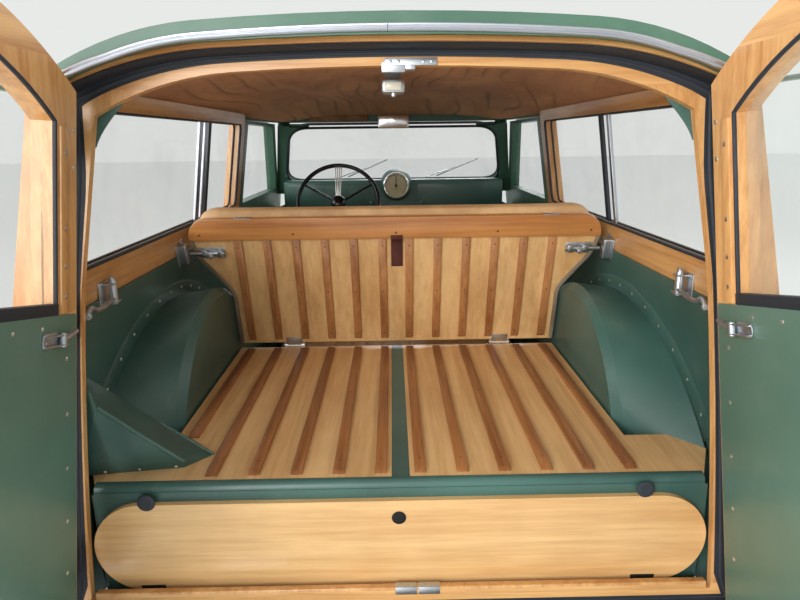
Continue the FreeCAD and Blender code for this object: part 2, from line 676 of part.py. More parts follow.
def tail_hinge_moving(v):
    """Middle knuckle with its plate on the door's outer face."""
    half = S.hinge_height / 2
    barrel = rod(S.hinge_barrel, along_pin(v, -half), along_pin(v, half))
    reach = 52.0
    plate = Part.makeBox(reach + S.door_gap - 1, S.hinge_plate, S.hinge_height,
                         Vector(hinge_edge(v) - reach, -S.hinge_plate, v - half))
    neck = Part.makeBox(S.hinge_barrel, S.hinge_barrel, S.hinge_height,
                        Vector(hinge_edge(v) - 2, -S.hinge_stand, v - half))
    for shape in (plate, neck):
        shape.Placement = TAIL.multiply(shape.Placement)
    bore = rod(S.hinge_pin + S.running_gap, along_pin(v, -2 * half), along_pin(v, 2 * half))
    return fuse([barrel, plate, neck]).cut(bore)


tail_frame = fuse([tail_frame] + [tail_hinge_moving(v) for v in HINGES])
pane_plane = wire(at_tail(S.panel_depth), (0, 0), (CLEAR_X, 0), (CLEAR_X, tail_end), (0, tail_end))
window_slab = tail_prism(pane_plane, S.glass)
tail_glass = window.common(window_slab)
for name, side in SIDES:
    piece(f"rear_door_{name}_frame", swing(tail_frame, side))
    piece(f"rear_door_{name}_panels", Part.Compound([swing(outer_panel, side), swing(inner_sheet, side)]))
    piece(f"rear_door_{name}_glass", swing(tail_glass, side))

# Ash side frame with its panels, linings and windows

rear_limit = behind_tail(S.tail_depth + S.seat_gap)


def arch_cylinder(radius):
    """Cylinder across the car along the wheel arch at the body side."""
    middle = Vector(0, ahead(S.arch_y), S.arch_wall_z)
    return rod(radius, middle - Vector(CLEAR_X, 0, 0), middle + Vector(CLEAR_X, 0, 0))


b_post_front = S.b_post_y + S.b_post_width
window_low = S.waist_z
rail_low = S.waist_z - S.rail_height
side_opening = side_window(S.window_rear_y, S.b_post_y, window_low, S.window_top)
infill = block(0, CLEAR_X, CLEAR_REAR, S.b_post_y, S.sill_bottom + S.lower_rail, rail_low)
infill = infill.cut(block(0, CLEAR_X, S.strut_y, S.strut_y + S.strut_width, 0, CLEAR_TOP))
infill = infill.cut(arch_cylinder(S.arch_wall_radius + S.arch_timber))
infill = infill.cut(behind_tail(S.tail_depth + S.strut_width))
slab_cut = fuse([arch_cylinder(S.arch_wall_radius), rear_limit])
ash = side_slab(0, S.timber, CLEAR_REAR, b_post_front).cut(slab_cut).cut(side_opening).cut(infill)
ash = ash.cut(block(0, CLEAR_X, CLEAR_REAR, b_post_front, S.gutter_z - S.roof_foot, CLEAR_TOP))
piece("timber_sides", both_sides(ash))

side_panel = side_slab(S.panel_depth, S.panel_depth + S.panel, CLEAR_REAR, b_post_front).common(infill)
side_panel = side_panel.cut(slab_cut)
inner_side = side_slab(S.timber, S.timber + S.lining, CLEAR_REAR, b_post_front)
lining_zone = block(0, CLEAR_X, CLEAR_REAR, b_post_front, S.arch_foot, rail_low)
inner_side = inner_side.common(lining_zone).cut(slab_cut)
piece("side_panels", both_sides(side_panel))
side_glass = side_slab(S.panel_depth, S.panel_depth + S.glass, CLEAR_REAR, b_post_front).common(side_opening)
side_glass = side_glass.cut(rear_limit)
piece("side_windows", both_sides(side_glass))

# Side doors


def door_polygon(grow):
    """Outline of the side door on the car's side, grown all round."""
    screen_run = (S.screen_foot_y - S.screen_head_y) / (S.screen_foot_z - S.gutter_z)
    rear = b_post_front + S.door_gap - grow
    high = S.gutter_z - S.roof_foot - S.door_gap + grow
    front = S.door_front_y + grow
    pillar = 46.0 - grow
    front_high = S.screen_foot_y + (high - S.screen_foot_z) * screen_run - pillar
    knee = S.screen_foot_z + (front + pillar - S.screen_foot_y) / screen_run
    return wire(at_x(0), (rear, S.door_bottom - grow), (front, S.door_bottom - grow), (front, knee),
                (front_high, high), (rear, high))


def door_window_polygon():
    """Window of the side door."""
    screen_run = (S.screen_foot_y - S.screen_head_y) / (S.screen_foot_z - S.gutter_z)
    rear = b_post_front + S.door_gap + S.door_frame
    high = S.window_top
    front_low = S.door_front_y - 1.5 * S.door_frame
    front_high = S.screen_foot_y + (high - S.screen_foot_z) * screen_run - 46.0 - 1.3 * S.door_frame
    return wire(at_x(0), (rear, S.waist_z), (front_low, S.waist_z), (front_high, high), (rear, high))


def door_knuckle(z, y):
    """Barrel of a side door hinge and its arm into the door's edge."""
    top = S.hinge_height / 2
    pin = at_x(S.door_hinge_x)
    barrel = rod(S.hinge_barrel, pin(y, z - top), pin(y, z + top))
    arm = fuse([block(S.waist_half, S.door_hinge_x, y - 40, S.door_front_y - 2, z - top, z + top),
                block(S.flank_half + 2, S.door_hinge_x, y - 30, y, z - top, z + top)])
    bore = rod(S.hinge_pin + S.running_gap, pin(y, z - 2 * top), pin(y, z + 2 * top))
    return fuse([barrel, arm]), bore


hinge_y = S.door_front_y + 2.2 * S.door_gap
door_slab = side_slab(0, S.timber, S.b_post_y, S.firewall_y)
door = door_slab.common(prism(door_polygon(0.0), Vector(CLEAR_X, 0, 0)))
door_window = prism(door_window_polygon(), Vector(CLEAR_X, 0, 0))
door = door.cut(door_window)
bores = []
for z in (S.door_hinge_low, S.door_hinge_high):
    knuckle, bore = door_knuckle(z, hinge_y)
    door = fuse([door, knuckle])
    bores.append(bore)
for bore in bores:
    door = door.cut(bore)
door_glass = side_slab(S.panel_depth, S.panel_depth + S.glass, S.b_post_y, S.firewall_y).common(door_window)
for name, side in SIDES:
    piece(f"door_{name}", door if side > 0 else door.mirror(*MIRROR))
    piece(f"door_{name}_glass", door_glass if side > 0 else door_glass.mirror(*MIRROR))

# Steel front: posts, scuttle, bulkhead, inner wings, screen frame and front panel

post_front = hinge_y + S.hinge_barrel + S.a_post_depth
a_post = side_slab(0, S.timber, S.door_front_y + S.door_gap, post_front)
a_post = a_post.cut(block(0, CLEAR_X, S.b_post_y, CLEAR_FRONT, S.waist_z, CLEAR_TOP))
COWL = [(S.door_front_y + S.door_gap, S.waist_half, S.cowl_low, S.cowl_z), (1640, 622, S.cowl_low, 1072),
        (S.bonnet_rear_y - S.door_gap, 562, S.cowl_low, 1038)]
cowl_corner = 60.0
cowl = dome_loft(COWL, 0.0, 0.0, cowl_corner).cut(dome_loft(COWL, S.cowl_metal, S.cowl_metal, cowl_corner))
firewall = block(-S.floor_half, S.floor_half, S.firewall_y, S.firewall_y + S.plate, S.floor_z - S.plate,
                 S.cowl_low)
tunnel_inner = S.tunnel_half - S.plate
firewall = firewall.cut(block(-tunnel_inner, tunnel_inner, S.firewall_y - S.plate,
                              S.firewall_y + 2 * S.plate, 0, S.tunnel_top - S.plate))
upper_wall = dome_loft(COWL, S.cowl_metal / 2, 0.0, cowl_corner)
upper_wall = upper_wall.common(block(-CLEAR_X, CLEAR_X, S.firewall_y, S.firewall_y + S.plate, 0, CLEAR_TOP))
inner_wing = block(S.inner_wing_x, S.inner_wing_x + S.plate, S.firewall_y, S.front_panel_y,
                   S.inner_wing_low, S.cowl_low - 90)


def hinge_pins():
    """Pins and outer knuckles of a right side door on the front post."""
    shapes = []
    pin = at_x(S.door_hinge_x)
    for z in (S.door_hinge_low, S.door_hinge_high):
        reach = S.hinge_height
        shapes.append(rod(S.hinge_pin, pin(hinge_y, z - reach), pin(hinge_y, z + reach)))
        for low in (z - reach, z + S.hinge_height / 2 + S.knuckle_gap):
            high = low + S.hinge_height / 2 - S.knuckle_gap
            shapes.append(rod(S.hinge_barrel, pin(hinge_y, low), pin(hinge_y, high)))
            shapes.append(block(S.door_hinge_x - 50, S.door_hinge_x, hinge_y - 2, hinge_y + S.hinge_barrel,
                                low, high))
    return shapes


def screen_plane(depth):
    """Maps (x, distance up the screen) to the raked plane of the screen, depth under its outer face."""
    run = S.screen_head_y - S.screen_foot_y
    rise = S.gutter_z - S.screen_foot_z
    length = math.hypot(run, rise)
    up = Vector(0, run / length, rise / length)
    inward = Vector(0, -rise / length, run / length)
    origin = Vector(0, ahead(S.screen_foot_y), S.screen_foot_z)
    return lambda a, b: origin + up * b + inward * depth + Vector(a, 0, 0)


screen_length = math.hypot(S.screen_foot_y - S.screen_head_y, S.gutter_z - S.screen_foot_z)
screen_normal = screen_plane(1)(0, 0).sub(screen_plane(0)(0, 0))


def screen_outline(side, low, depth):
    """Trapezoid of the screen, set in at its sides and foot."""
    return wire(screen_plane(depth), (-S.screen_foot_half + side, low), (S.screen_foot_half - side, low),
                (S.screen_head_half - side, screen_length), (-S.screen_head_half + side, screen_length))


screen_frame = prism(screen_outline(0, -S.screen_sill, 0), screen_normal * S.screen_depth)
screen_hole = prism(screen_outline(S.screen_frame, S.screen_sill, -1), screen_normal * (S.screen_depth + 2))
roof_edge = block(-CLEAR_X, CLEAR_X, S.b_post_y, CLEAR_FRONT, S.gutter_z - S.roof_foot, CLEAR_TOP)
screen_frame = screen_frame.cut(screen_hole).cut(roof_edge)
glass_depth = (S.screen_depth - S.glass) / 2
screen_glass = prism(screen_outline(S.screen_frame, S.screen_sill, glass_depth), screen_normal * S.glass)
piece("windscreen", screen_glass.cut(roof_edge))

nose_half = S.inner_wing_x - 40
nose_front = S.front_panel_y + S.front_panel_depth
grille_hole = block(-S.grille_half, S.grille_half, S.front_panel_y - 100, nose_front + 100, S.grille_low,
                    S.grille_top)
front_panel = block(-nose_half, nose_half, S.front_panel_y, nose_front, S.front_panel_low, 786)
front_panel = front_panel.cut(grille_hole)
plate_half = S.inner_wing_x + S.plate
nose_plate = block(-plate_half, plate_half, S.front_panel_y - S.plate, S.front_panel_y, S.front_panel_low, 770)
nose_plate = nose_plate.cut(grille_hole)
hinges_right = hinge_pins()
front_shapes = [a_post, a_post.mirror(*MIRROR), cowl, firewall, upper_wall, inner_wing,
                inner_wing.mirror(*MIRROR), screen_frame, front_panel, nose_plate]
front_shapes += hinges_right + [shape.mirror(*MIRROR) for shape in hinges_right]
BONNET_PINS = (-250.0, 250.0)
bonnet_pin_z = S.cowl_z - 32.0
bonnet_pin_y = S.bonnet_rear_y - S.door_gap / 2
for x in BONNET_PINS:
    reach = S.hinge_height
    front_shapes.append(rod(S.hinge_pin, Vector(x - reach, ahead(bonnet_pin_y), bonnet_pin_z),
                            Vector(x + reach, ahead(bonnet_pin_y), bonnet_pin_z)))
    for low in (x - reach, x + S.hinge_height / 2 + S.knuckle_gap):
        high = low + S.hinge_height / 2 - S.knuckle_gap
        front_shapes.append(rod(S.hinge_barrel, Vector(low, ahead(bonnet_pin_y), bonnet_pin_z),
                                Vector(high, ahead(bonnet_pin_y), bonnet_pin_z)))
        front_shapes.append(block(low, high, bonnet_pin_y - 40, bonnet_pin_y, bonnet_pin_z - 34,
                                  bonnet_pin_z))
piece("front_body", fuse(front_shapes).cut(prism(screen_outline(S.screen_frame, S.screen_sill, 0),
                                                screen_normal * S.screen_depth)))

# Bonnet: y, half width, lower edge, crown

BONNET = [(S.bonnet_rear_y, 558, 925, 1036), (2000, 530, 900, 1016), (2350, 470, 868, 972),
          (2600, 400, 834, 922), (2738, 334, 792, 852)]
bonnet_corner = 34.0


def bonnet_rows(front, rear):
    """Rows of the bonnet with its ends brought in."""
    rows = [list(row) for row in BONNET]
    rows[0][0] += rear
    rows[-1][0] -= front
    return rows


bonnet = dome_loft(bonnet_rows(0, 0), 0.0, 0.0, bonnet_corner)
bonnet = bonnet.cut(dome_loft(bonnet_rows(S.bonnet_metal, 0), S.bonnet_metal, S.bonnet_metal, bonnet_corner))
for x in BONNET_PINS:
    half = S.hinge_height / 2
    start = Vector(x - half, ahead(bonnet_pin_y), bonnet_pin_z)
    arm = block(x - half, x + half, bonnet_pin_y, bonnet_pin_y + 40, bonnet_pin_z - 38, bonnet_pin_z)
    knuckle = fuse([rod(S.hinge_barrel, start, start + Vector(2 * half, 0, 0)), arm])
    bore = rod(S.hinge_pin + S.running_gap, start - Vector(half, 0, 0), start + Vector(3 * half, 0, 0))
    bonnet = fuse([bonnet, knuckle]).cut(bore)
piece("bonnet", bonnet)

# Front wings: y, inner edge, height there, crown height, outermost x, lower edge

FRONT_WING = [(S.wing_rear_y, 560, 880, 892, 742, 285), (1760, 558, 884, 900, 756, 285),
              (2000, 536, 868, 892, 760, 300), (2350, 476, 852, 880, 758, 300),
              (2600, 406, 828, 874, 746, 330), (2784, 342, 770, 846, 700, 420)]


def wing_section(row, inset):
    """Section of a front wing: inner edge, crown, outer flank, lower edge."""
    y, inner, inner_z, crown, outer, low = row
    inner_z, crown, outer = inner_z - inset, crown - inset, outer - inset
    low = low - 3 * inset
    inner = inner - (40 if inset else 0)
    shoulder = inner + 0.45 * (outer - inner)
    bend = 0.29 * (outer - shoulder)
    side_z = crown - (outer - shoulder)
    return wire(at_y(y), (inner, inner_z), (shoulder, crown),
                ((outer - bend, crown - bend), (outer, side_z)), (outer - 8, low), (inner, low))


def wing_loft(rows, section, inset, front, rear):
    """Solid through a wing's sections, with the ends brought in for its inside."""
    rows = [list(row) for row in rows]
    rows[0][0] += rear
    rows[-1][0] -= front
    return Part.makeLoft([section(row, inset) for row in rows], True, False)


front_wing = wing_loft(FRONT_WING, wing_section, 0.0, 0, 0)
front_wing = front_wing.cut(wing_loft(FRONT_WING, wing_section, S.wing_metal, S.wing_metal, -1))
wheel_cut = rod(S.wheel_opening, Vector(400, ahead(FRONT_AXLE), S.tyre_radius),
                Vector(CLEAR_X, ahead(FRONT_AXLE), S.tyre_radius))
front_wing = front_wing.cut(wheel_cut)
post_clear = side_slab(-S.seat_gap, 200, S.door_front_y, post_front + S.seat_gap)
post_clear = post_clear.cut(block(0, CLEAR_X, S.b_post_y, CLEAR_FRONT, S.waist_z, CLEAR_TOP))
front_wing = front_wing.cut(post_clear).cut(block(0, 622 + S.seat_gap, 1400, 1700, 700, 1200))
front_wing = front_wing.cut(block(0, plate_half + S.seat_gap, 1400, S.front_panel_y + S.seat_gap, 200, 1200))
front_wing = front_wing.cut(block(0, nose_half + S.seat_gap, 2600, CLEAR_FRONT, 200, 787))
lamp_back_y = S.headlamp_rim_y - S.headlamp_depth
lamp_hole = rod(S.headlamp_radius + S.seat_gap, Vector(S.headlamp_x, ahead(lamp_back_y - 40), S.headlamp_z),
                Vector(S.headlamp_x, ahead(CLEAR_FRONT), S.headlamp_z))
piece("front_wings", both_sides(front_wing.cut(lamp_hole)))

# Rear wings: y, bulge beyond the flank

REAR_WING = [(-800, 20), (-640, 42), (-400, 60), (S.arch_y, 66), (150, 62), (400, 40), (560, 16)]


def rear_wing_section(row, inset):
    """Section of a rear wing, whose top follows the wheel arch."""
    y, bulge = row
    centre = S.arch_y
    top = S.arch_wall_z + math.sqrt(S.wing_reach ** 2 - (y - centre) ** 2) - inset
    low = S.tyre_radius - 3 * inset
    outer = S.flank_half + bulge - inset
    inner = S.flank_half - S.timber / 2 - 4 * inset
    drop = min(150.0, 0.6 * (top - low))
    bend = ((inner + outer) / 2 + 0.21 * (outer - inner), top - 0.29 * drop)
    return wire(at_y(y), (inner, top), (bend, (outer, top - drop)), (outer - 6, low), (inner, low))


rear_wing = wing_loft(REAR_WING, rear_wing_section, 0.0, 0, 0)
rear_wing = rear_wing.cut(wing_loft(REAR_WING, rear_wing_section, S.wing_metal, S.wing_metal, S.wing_metal))
rear_wheel_cut = rod(S.rear_opening, Vector(S.arch_face_x, ahead(0), S.tyre_radius),
                     Vector(CLEAR_X, ahead(0), S.tyre_radius))
rear_wing = rear_wing.cut(rear_wheel_cut)
flank_clear = side_slab(-S.seat_gap, 300, CLEAR_REAR - 200, b_post_front + 200)
piece("rear_wings", both_sides(rear_wing.cut(flank_clear)))

# Inner wheel arches and the box over the filler neck


def arch_section(x, radius, centre_z):
    """Arch outline on an upright plane along the car, down to the arch's foot."""
    half = math.sqrt(radius ** 2 - (S.arch_foot - centre_z) ** 2)
    return wire(at_x(x), (S.arch_y - half, S.arch_foot),
                ((S.arch_y, centre_z + radius), (S.arch_y + half, S.arch_foot)))


def arch_solid(shrink):
    """Wheel arch from the body side over its ridge to the inner face, shrunk for its inside."""
    face_radius = S.arch_ridge_radius - (S.arch_ridge_x - S.arch_face_x)
    beyond = 20.0 if shrink > 0 else 0.0
    wall = arch_section(S.arch_wall_x + beyond, S.arch_wall_radius - shrink, S.arch_wall_z)
    ridge = arch_section(S.arch_ridge_x + shrink, S.arch_ridge_radius - shrink, S.arch_ridge_z)
    face = arch_section(S.arch_face_x + shrink, face_radius - shrink, S.arch_ridge_z)
    return Part.makeLoft([wall, ridge, face], True, True)


arch = arch_solid(0.0)
arch_shell = arch.cut(arch_solid(S.arch_metal))
arch_shell = arch_shell.cut(block(0, CLEAR_X, CLEAR_REAR, S.front_seat_y, 0, S.arch_foot + 1))
piece("inner_arches", both_sides(arch_shell.cut(rear_limit)))
piece("side_linings", both_sides(inner_side.cut(arch_solid(-S.seat_gap))))

FILLER_POINTS = {
    "foot_rear": (-640, -696, 0), "base": (-439, -669, 0), "tip": (-392, -617, 0), "fold": (-458, -552, 0),
    "foot_front": (-640, -560, 0), "ridge_low": (-435, -674, 19), "ridge_high": (-576, -710, 156),
    "top": (-595, -710, 220), "outer": (-650, -604, 178), "meets_arch": (-493, -564, 29),
    "outer_rear": (-650, -704, 220),
}
FILLER_FACES = [
    ("foot_rear", "base", "tip", "fold", "foot_front"),
    ("foot_rear", "ridge_low", "base"), ("foot_rear", "ridge_high", "ridge_low"),
    ("foot_rear", "top", "ridge_high"), ("foot_rear", "outer_rear", "top"),
    ("foot_rear", "foot_front", "outer"), ("foot_rear", "outer", "outer_rear"),
    ("outer_rear", "outer", "top"), ("top", "outer", "ridge_high"),
    ("ridge_high", "outer", "meets_arch"), ("ridge_high", "meets_arch", "ridge_low"),
    ("ridge_low", "meets_arch", "tip"), ("ridge_low", "tip", "base"),
    ("meets_arch", "fold", "tip"), ("outer", "foot_front", "meets_arch"), ("meets_arch", "foot_front", "fold"),
]


def polyhedron(points, faces, base_z):
    """Solid with flat triangular faces between named points."""
    spots = {name: Vector(x, ahead(y), base_z + z) for name, (x, y, z) in points.items()}
    shell = Part.makeShell([Part.Face(Part.makePolygon([spots[name] for name in face + face[:1]]))
                            for face in faces])
    solid = Part.makeSolid(shell)
    if solid.Volume < 0:
        solid.reverse()
    return solid


filler = polyhedron(FILLER_POINTS, FILLER_FACES, S.load_floor_z + S.seat_gap)
side_clear = side_slab(0, S.timber + S.lining + S.seat_gap, CLEAR_REAR, b_post_front).mirror(*MIRROR)
piece("filler_box", filler.cut(arch_solid(-S.seat_gap).mirror(*MIRROR)).cut(rear_limit).cut(side_clear))

# Floor, tunnel, sills, seat step and spare wheel shelf

floor = block(-S.floor_half, S.floor_half, S.heel_y, S.firewall_y, S.floor_z - S.plate, S.floor_z)
tunnel = block(-S.tunnel_half, S.tunnel_half, S.tunnel_y, S.firewall_y, S.floor_z - S.plate, S.tunnel_top)
shaft_tunnel = block(-S.shaft_tunnel_half, S.shaft_tunnel_half, S.heel_y, S.tunnel_y + S.plate,
                     S.floor_z - S.plate, S.shaft_tunnel_top)
tunnel_void = block(-S.tunnel_half + S.plate, S.tunnel_half - S.plate, S.tunnel_y + S.plate, CLEAR_FRONT, 0,
                    S.tunnel_top - S.plate)
shaft_void = block(-S.shaft_tunnel_half + S.plate, S.shaft_tunnel_half - S.plate, 500, S.tunnel_y + 20, 0,
                   S.shaft_tunnel_top - S.plate)
pan_z = S.cushion_top - S.cushion_height - S.seat_gap
step = block(-S.floor_half, S.floor_half, S.heel_y - S.plate, S.heel_y, S.floor_z - S.plate, pan_z)
between_arches = S.arch_face_x - S.seat_gap
deck_z = S.load_floor_z - S.board
seat_pan = block(-between_arches, between_arches, S.load_front_y, S.heel_y, pan_z - S.plate, pan_z)
riser = block(-between_arches, between_arches, S.load_front_y - S.plate, S.load_front_y,
              pan_z - S.plate, deck_z)
deck = block(-between_arches, between_arches, S.load_rear_y, S.load_front_y, deck_z - S.plate, deck_z)


def floor_outline(inner, z):
    """Right half of the load floor on a level plane: narrow between the arches, wider behind them."""
    return wire(at_z(z), (inner, S.load_front_y), (S.load_half, S.load_front_y), (S.load_half, S.load_wing_y),
                (S.load_wing_half, S.load_wing_y), (S.load_wing_half, S.load_taper_y),
                (S.load_rear_half, S.load_rear_y), (inner, S.load_rear_y))


deck_wings = both_sides(prism(floor_outline(0, deck_z - S.plate), Vector(0, 0, S.plate)))
spare_panel = block(-S.spare_board_half + 10, S.spare_board_half - 10, S.spare_board_y + S.board + S.seat_gap,
                    S.spare_board_y + S.board + S.plate, S.well_floor_z - S.plate, deck_z)
spare_panel = spare_panel.cut(block(-S.spare_hole_half, S.spare_hole_half, CLEAR_REAR, S.load_taper_y,
                                    S.spare_board_z + 24, S.spare_board_z + S.spare_board_height - 24))
strip = block(-S.floor_strip / 2 + S.seat_gap, S.floor_strip / 2 - S.seat_gap, S.load_rear_y, S.load_front_y,
              deck_z - S.plate, S.load_floor_z)
shelf = block(-between_arches, between_arches, S.spare_board_y + S.board + S.seat_gap, S.well_front_y,
              S.well_floor_z - S.plate, S.well_floor_z)
well_front = block(-between_arches, between_arches, S.well_front_y, S.well_front_y + S.plate,
                   S.well_floor_z - S.plate, deck_z - S.plate)
inner_sill = block(S.floor_half - S.sill_width, S.floor_half, S.heel_y, S.firewall_y, S.floor_z - S.plate,
                   S.door_bottom)
outer_sill = side_slab(0, S.timber, b_post_front + S.seat_gap, S.door_front_y + S.door_gap - S.seat_gap)
outer_sill = outer_sill.cut(block(0, CLEAR_X, S.b_post_y, CLEAR_FRONT, S.door_bottom - S.door_gap, CLEAR_TOP))
jack_z = S.floor_z - S.plate
jack_point = Vector(S.floor_half - S.sill_width / 2, ahead(S.jack_y), jack_z)
jack_bore = rod(S.jack_radius, jack_point - Vector(0, 0, 1), jack_point + Vector(0, 0, S.jack_depth))
sills = [inner_sill, inner_sill.mirror(*MIRROR), outer_sill, outer_sill.mirror(*MIRROR)]
floor_pan = fuse([floor, tunnel, shaft_tunnel] + sills).cut(tunnel_void).cut(shaft_void)
piece("floor_pan", floor_pan.cut(Part.Compound([jack_bore, jack_bore.mirror(*MIRROR)])))
arch_clear = Part.Compound([arch_solid(-S.seat_gap), arch_solid(-S.seat_gap).mirror(*MIRROR)])
load_deck = fuse([step, seat_pan, riser, deck, *deck_wings.Solids, strip]).cut(shaft_void)
piece("load_deck", load_deck.cut(arch_clear).cut(hoop))
piece("spare_well", fuse([shelf, well_front, spare_panel]).cut(arch_clear).cut(hoop))

# Load floor boards and the board over the spare wheel


def floor_board():
    """Right half of the load floor boards."""
    board = prism(floor_outline(S.floor_strip / 2, deck_z), Vector(0, 0, S.board))
    return board.cut(arch_solid(-S.seat_gap)).cut(hoop)


right_board = floor_board()
piece("load_floor_boards", Part.Compound([right_board, right_board.mirror(*MIRROR)]))

spare_half, spare_high = S.spare_board_half, S.spare_board_height
end_radius = spare_high / 2
spare_low = S.spare_board_z
spare_outline = wire(at_y(S.spare_board_y), (-spare_half + end_radius, spare_low),
                     (spare_half - end_radius, spare_low),
                     ((spare_half, spare_low + end_radius), (spare_half - end_radius, spare_low + spare_high)),
                     (-spare_half + end_radius, spare_low + spare_high),
                     ((-spare_half, spare_low + end_radius), (-spare_half + end_radius, spare_low)))
piece("spare_wheel_board", prism(spare_outline, Vector(0, S.board, 0)))

# Rear backrest, built upright at its hinge and leaned back

seat_tilt = Rotation(Vector(1, 0, 0), S.seat_recline)
SEAT = FreeCAD.Placement(Vector(0, ahead(S.seat_hinge_y), S.seat_hinge_z), seat_tilt)


def seat_outline(lap, low, high, front):
    """Outline of the backrest, narrower by lap, on the plane at distance front of its board."""
    radius = 60.0
    top_half = S.seat_top_half - lap
    plane = (lambda a, b: SEAT.multVec(Vector(a, front, b)))
    slant = 0.29 * radius
    return wire(plane, (-S.load_half + lap, low), (S.load_half - lap, low),
                (S.load_half - lap, S.seat_straight),
                (S.seat_shoulder_half - lap, S.seat_shoulder), (top_half, high - radius),
                ((top_half - slant, high - slant), (top_half - radius, high)), (-top_half + radius, high),
                ((-top_half + slant, high - slant), (-top_half, high - radius)),
                (-S.seat_shoulder_half + lap, S.seat_shoulder), (-S.load_half + lap, S.seat_straight))


seat_forward = SEAT.Rotation.multVec(Vector(0, 1, 0))
seat_board = prism(seat_outline(0, S.seat_foot, S.seat_height, 0), seat_forward * S.board)
pad_front = S.board + S.seat_gap
pad = prism(seat_outline(S.seat_lap, 1.5 * S.seat_foot, S.seat_height + S.seat_pad_rise, pad_front),
            seat_forward * S.seat_pad)
pad = pad.cut(block(-CLEAR_X, CLEAR_X, CLEAR_REAR, S.heel_y, S.seat_pad_top, CLEAR_TOP))
SEAT_HINGES = (-S.seat_hinge_x, S.seat_hinge_x)
seat_pin_radius = 4.0
for x in SEAT_HINGES:
    start = SEAT.multVec(Vector(x - 20, 0, 0))
    end = SEAT.multVec(Vector(x + 20, 0, 0))
    leaf = Part.makeBox(40, 5, S.seat_leaf, Vector(x - 20, -5, -2))
    leaf.Placement = SEAT.multiply(leaf.Placement)
    knuckle = fuse([rod(seat_pin_radius + 4, start, end), leaf])
    clear = rod(seat_pin_radius + S.running_gap, start - Vector(20, 0, 0), end + Vector(20, 0, 0))
    seat_board = fuse([seat_board, knuckle]).cut(clear)
piece("seat_back_board", seat_board)
piece("seat_back_pad", pad)

seat_pivots = []
for x in SEAT_HINGES:
    for low in (x - 32, x + 20 + S.seat_gap):
        start = Vector(low, ahead(S.seat_hinge_y), S.seat_hinge_z)
        end = start + Vector(12 - S.seat_gap, 0, 0)
        seat_pivots.append(rod(seat_pin_radius + 4, start, end))
        seat_pivots.append(block(low, low + 12 - S.seat_gap, S.load_front_y + S.seat_gap, S.seat_hinge_y + 8,
                                 S.load_floor_z - 60, S.seat_hinge_z))
    pin_start = Vector(x - 32, ahead(S.seat_hinge_y), S.seat_hinge_z)
    seat_pivots.append(rod(seat_pin_radius, pin_start, pin_start + Vector(64, 0, 0)))
    seat_pivots.append(block(x - 32, x + 32, S.load_front_y, S.load_front_y + 6, S.load_floor_z - 70,
                             S.load_floor_z - 50))
piece("seat_back_pivots", Part.Compound([fuse(seat_pivots[:6]), fuse(seat_pivots[6:])]))

# Cushions and front seats


def rounded_box(x0, x1, y0, y1, z0, z1, radius):
    """Box with its long upright and upper edges rounded."""
    box = block(x0, x1, y0, y1, z0, z1)
    edges = [edge for edge in box.Edges if edge.BoundBox.ZMax > z0 + 1]
    return box.makeFillet(radius, edges)


cushion_y = S.seat_hinge_y + 36
piece("rear_cushion", rounded_box(-S.cushion_half, S.cushion_half, cushion_y, cushion_y + S.cushion_depth,
                                  S.cushion_top - S.cushion_height, S.cushion_top, 30))
seat_pads = []
seat_irons = []
for x in (-S.front_seat_x, S.front_seat_x):
    left, right = x - S.front_seat_width / 2, x + S.front_seat_width / 2
    low = S.front_cushion_top - S.front_cushion_height
    seat_pads.append(rounded_box(left, right, S.front_seat_y, S.front_seat_y + S.front_seat_depth, low,
                                 S.front_cushion_top, 35))
    back = Part.makeBox(S.front_seat_width, S.front_back_depth, S.front_back_height,
                        Vector(left, 0, 0))
    back = back.makeFillet(32, back.Edges)
    back.Placement = FreeCAD.Placement(Vector(0, ahead(S.front_seat_y) - S.front_back_depth / 3,
                                              S.front_cushion_top + 12), Rotation(Vector(1, 0, 0), 12))
    seat_pads.append(back)
    tube, bar = 12.0, 14.0
    under = low - S.seat_gap
    for y in (S.front_seat_y + 30, S.front_seat_y + 400):
        seat_irons.append(block(left - bar, right + bar, y, y + 2 * tube, under - bar, under))
        for side in (left + 30, right - 30):
            seat_irons.append(block(side - tube, side + tube, y, y + 2 * tube, S.floor_z, under))
    for side in (left - bar, right + S.seat_gap):
        arm_top = S.front_cushion_top + 90
        arm = wire(at_x(side), (S.front_seat_y + 30, under - bar), (S.front_seat_y + 54, under - bar),
                   (S.front_seat_y + 40, arm_top), (S.front_seat_y - 20, arm_top))
        seat_irons.append(prism(arm, Vector(bar - S.seat_gap, 0, 0)))
piece("front_seats", Part.Compound(seat_pads))
piece("front_seat_irons", fuse(seat_irons))

# Dashboard, column and steering wheel

dash_front = S.dash_y + S.dash_depth
dash = rounded_box(-S.dash_half, S.dash_half, S.dash_y, dash_front, S.dash_bottom, S.dash_top, 16)
dash_shelf = block(-S.dash_half + 30, S.dash_half - 30, dash_front - 10, S.door_front_y + S.door_gap + 10,
                   S.dash_bottom + 30, S.dash_bottom + 60)
piece("dashboard", fuse([dash, dash_shelf]).cut(dome_loft(COWL, -S.seat_gap, 0.0, cowl_corner + 1)))

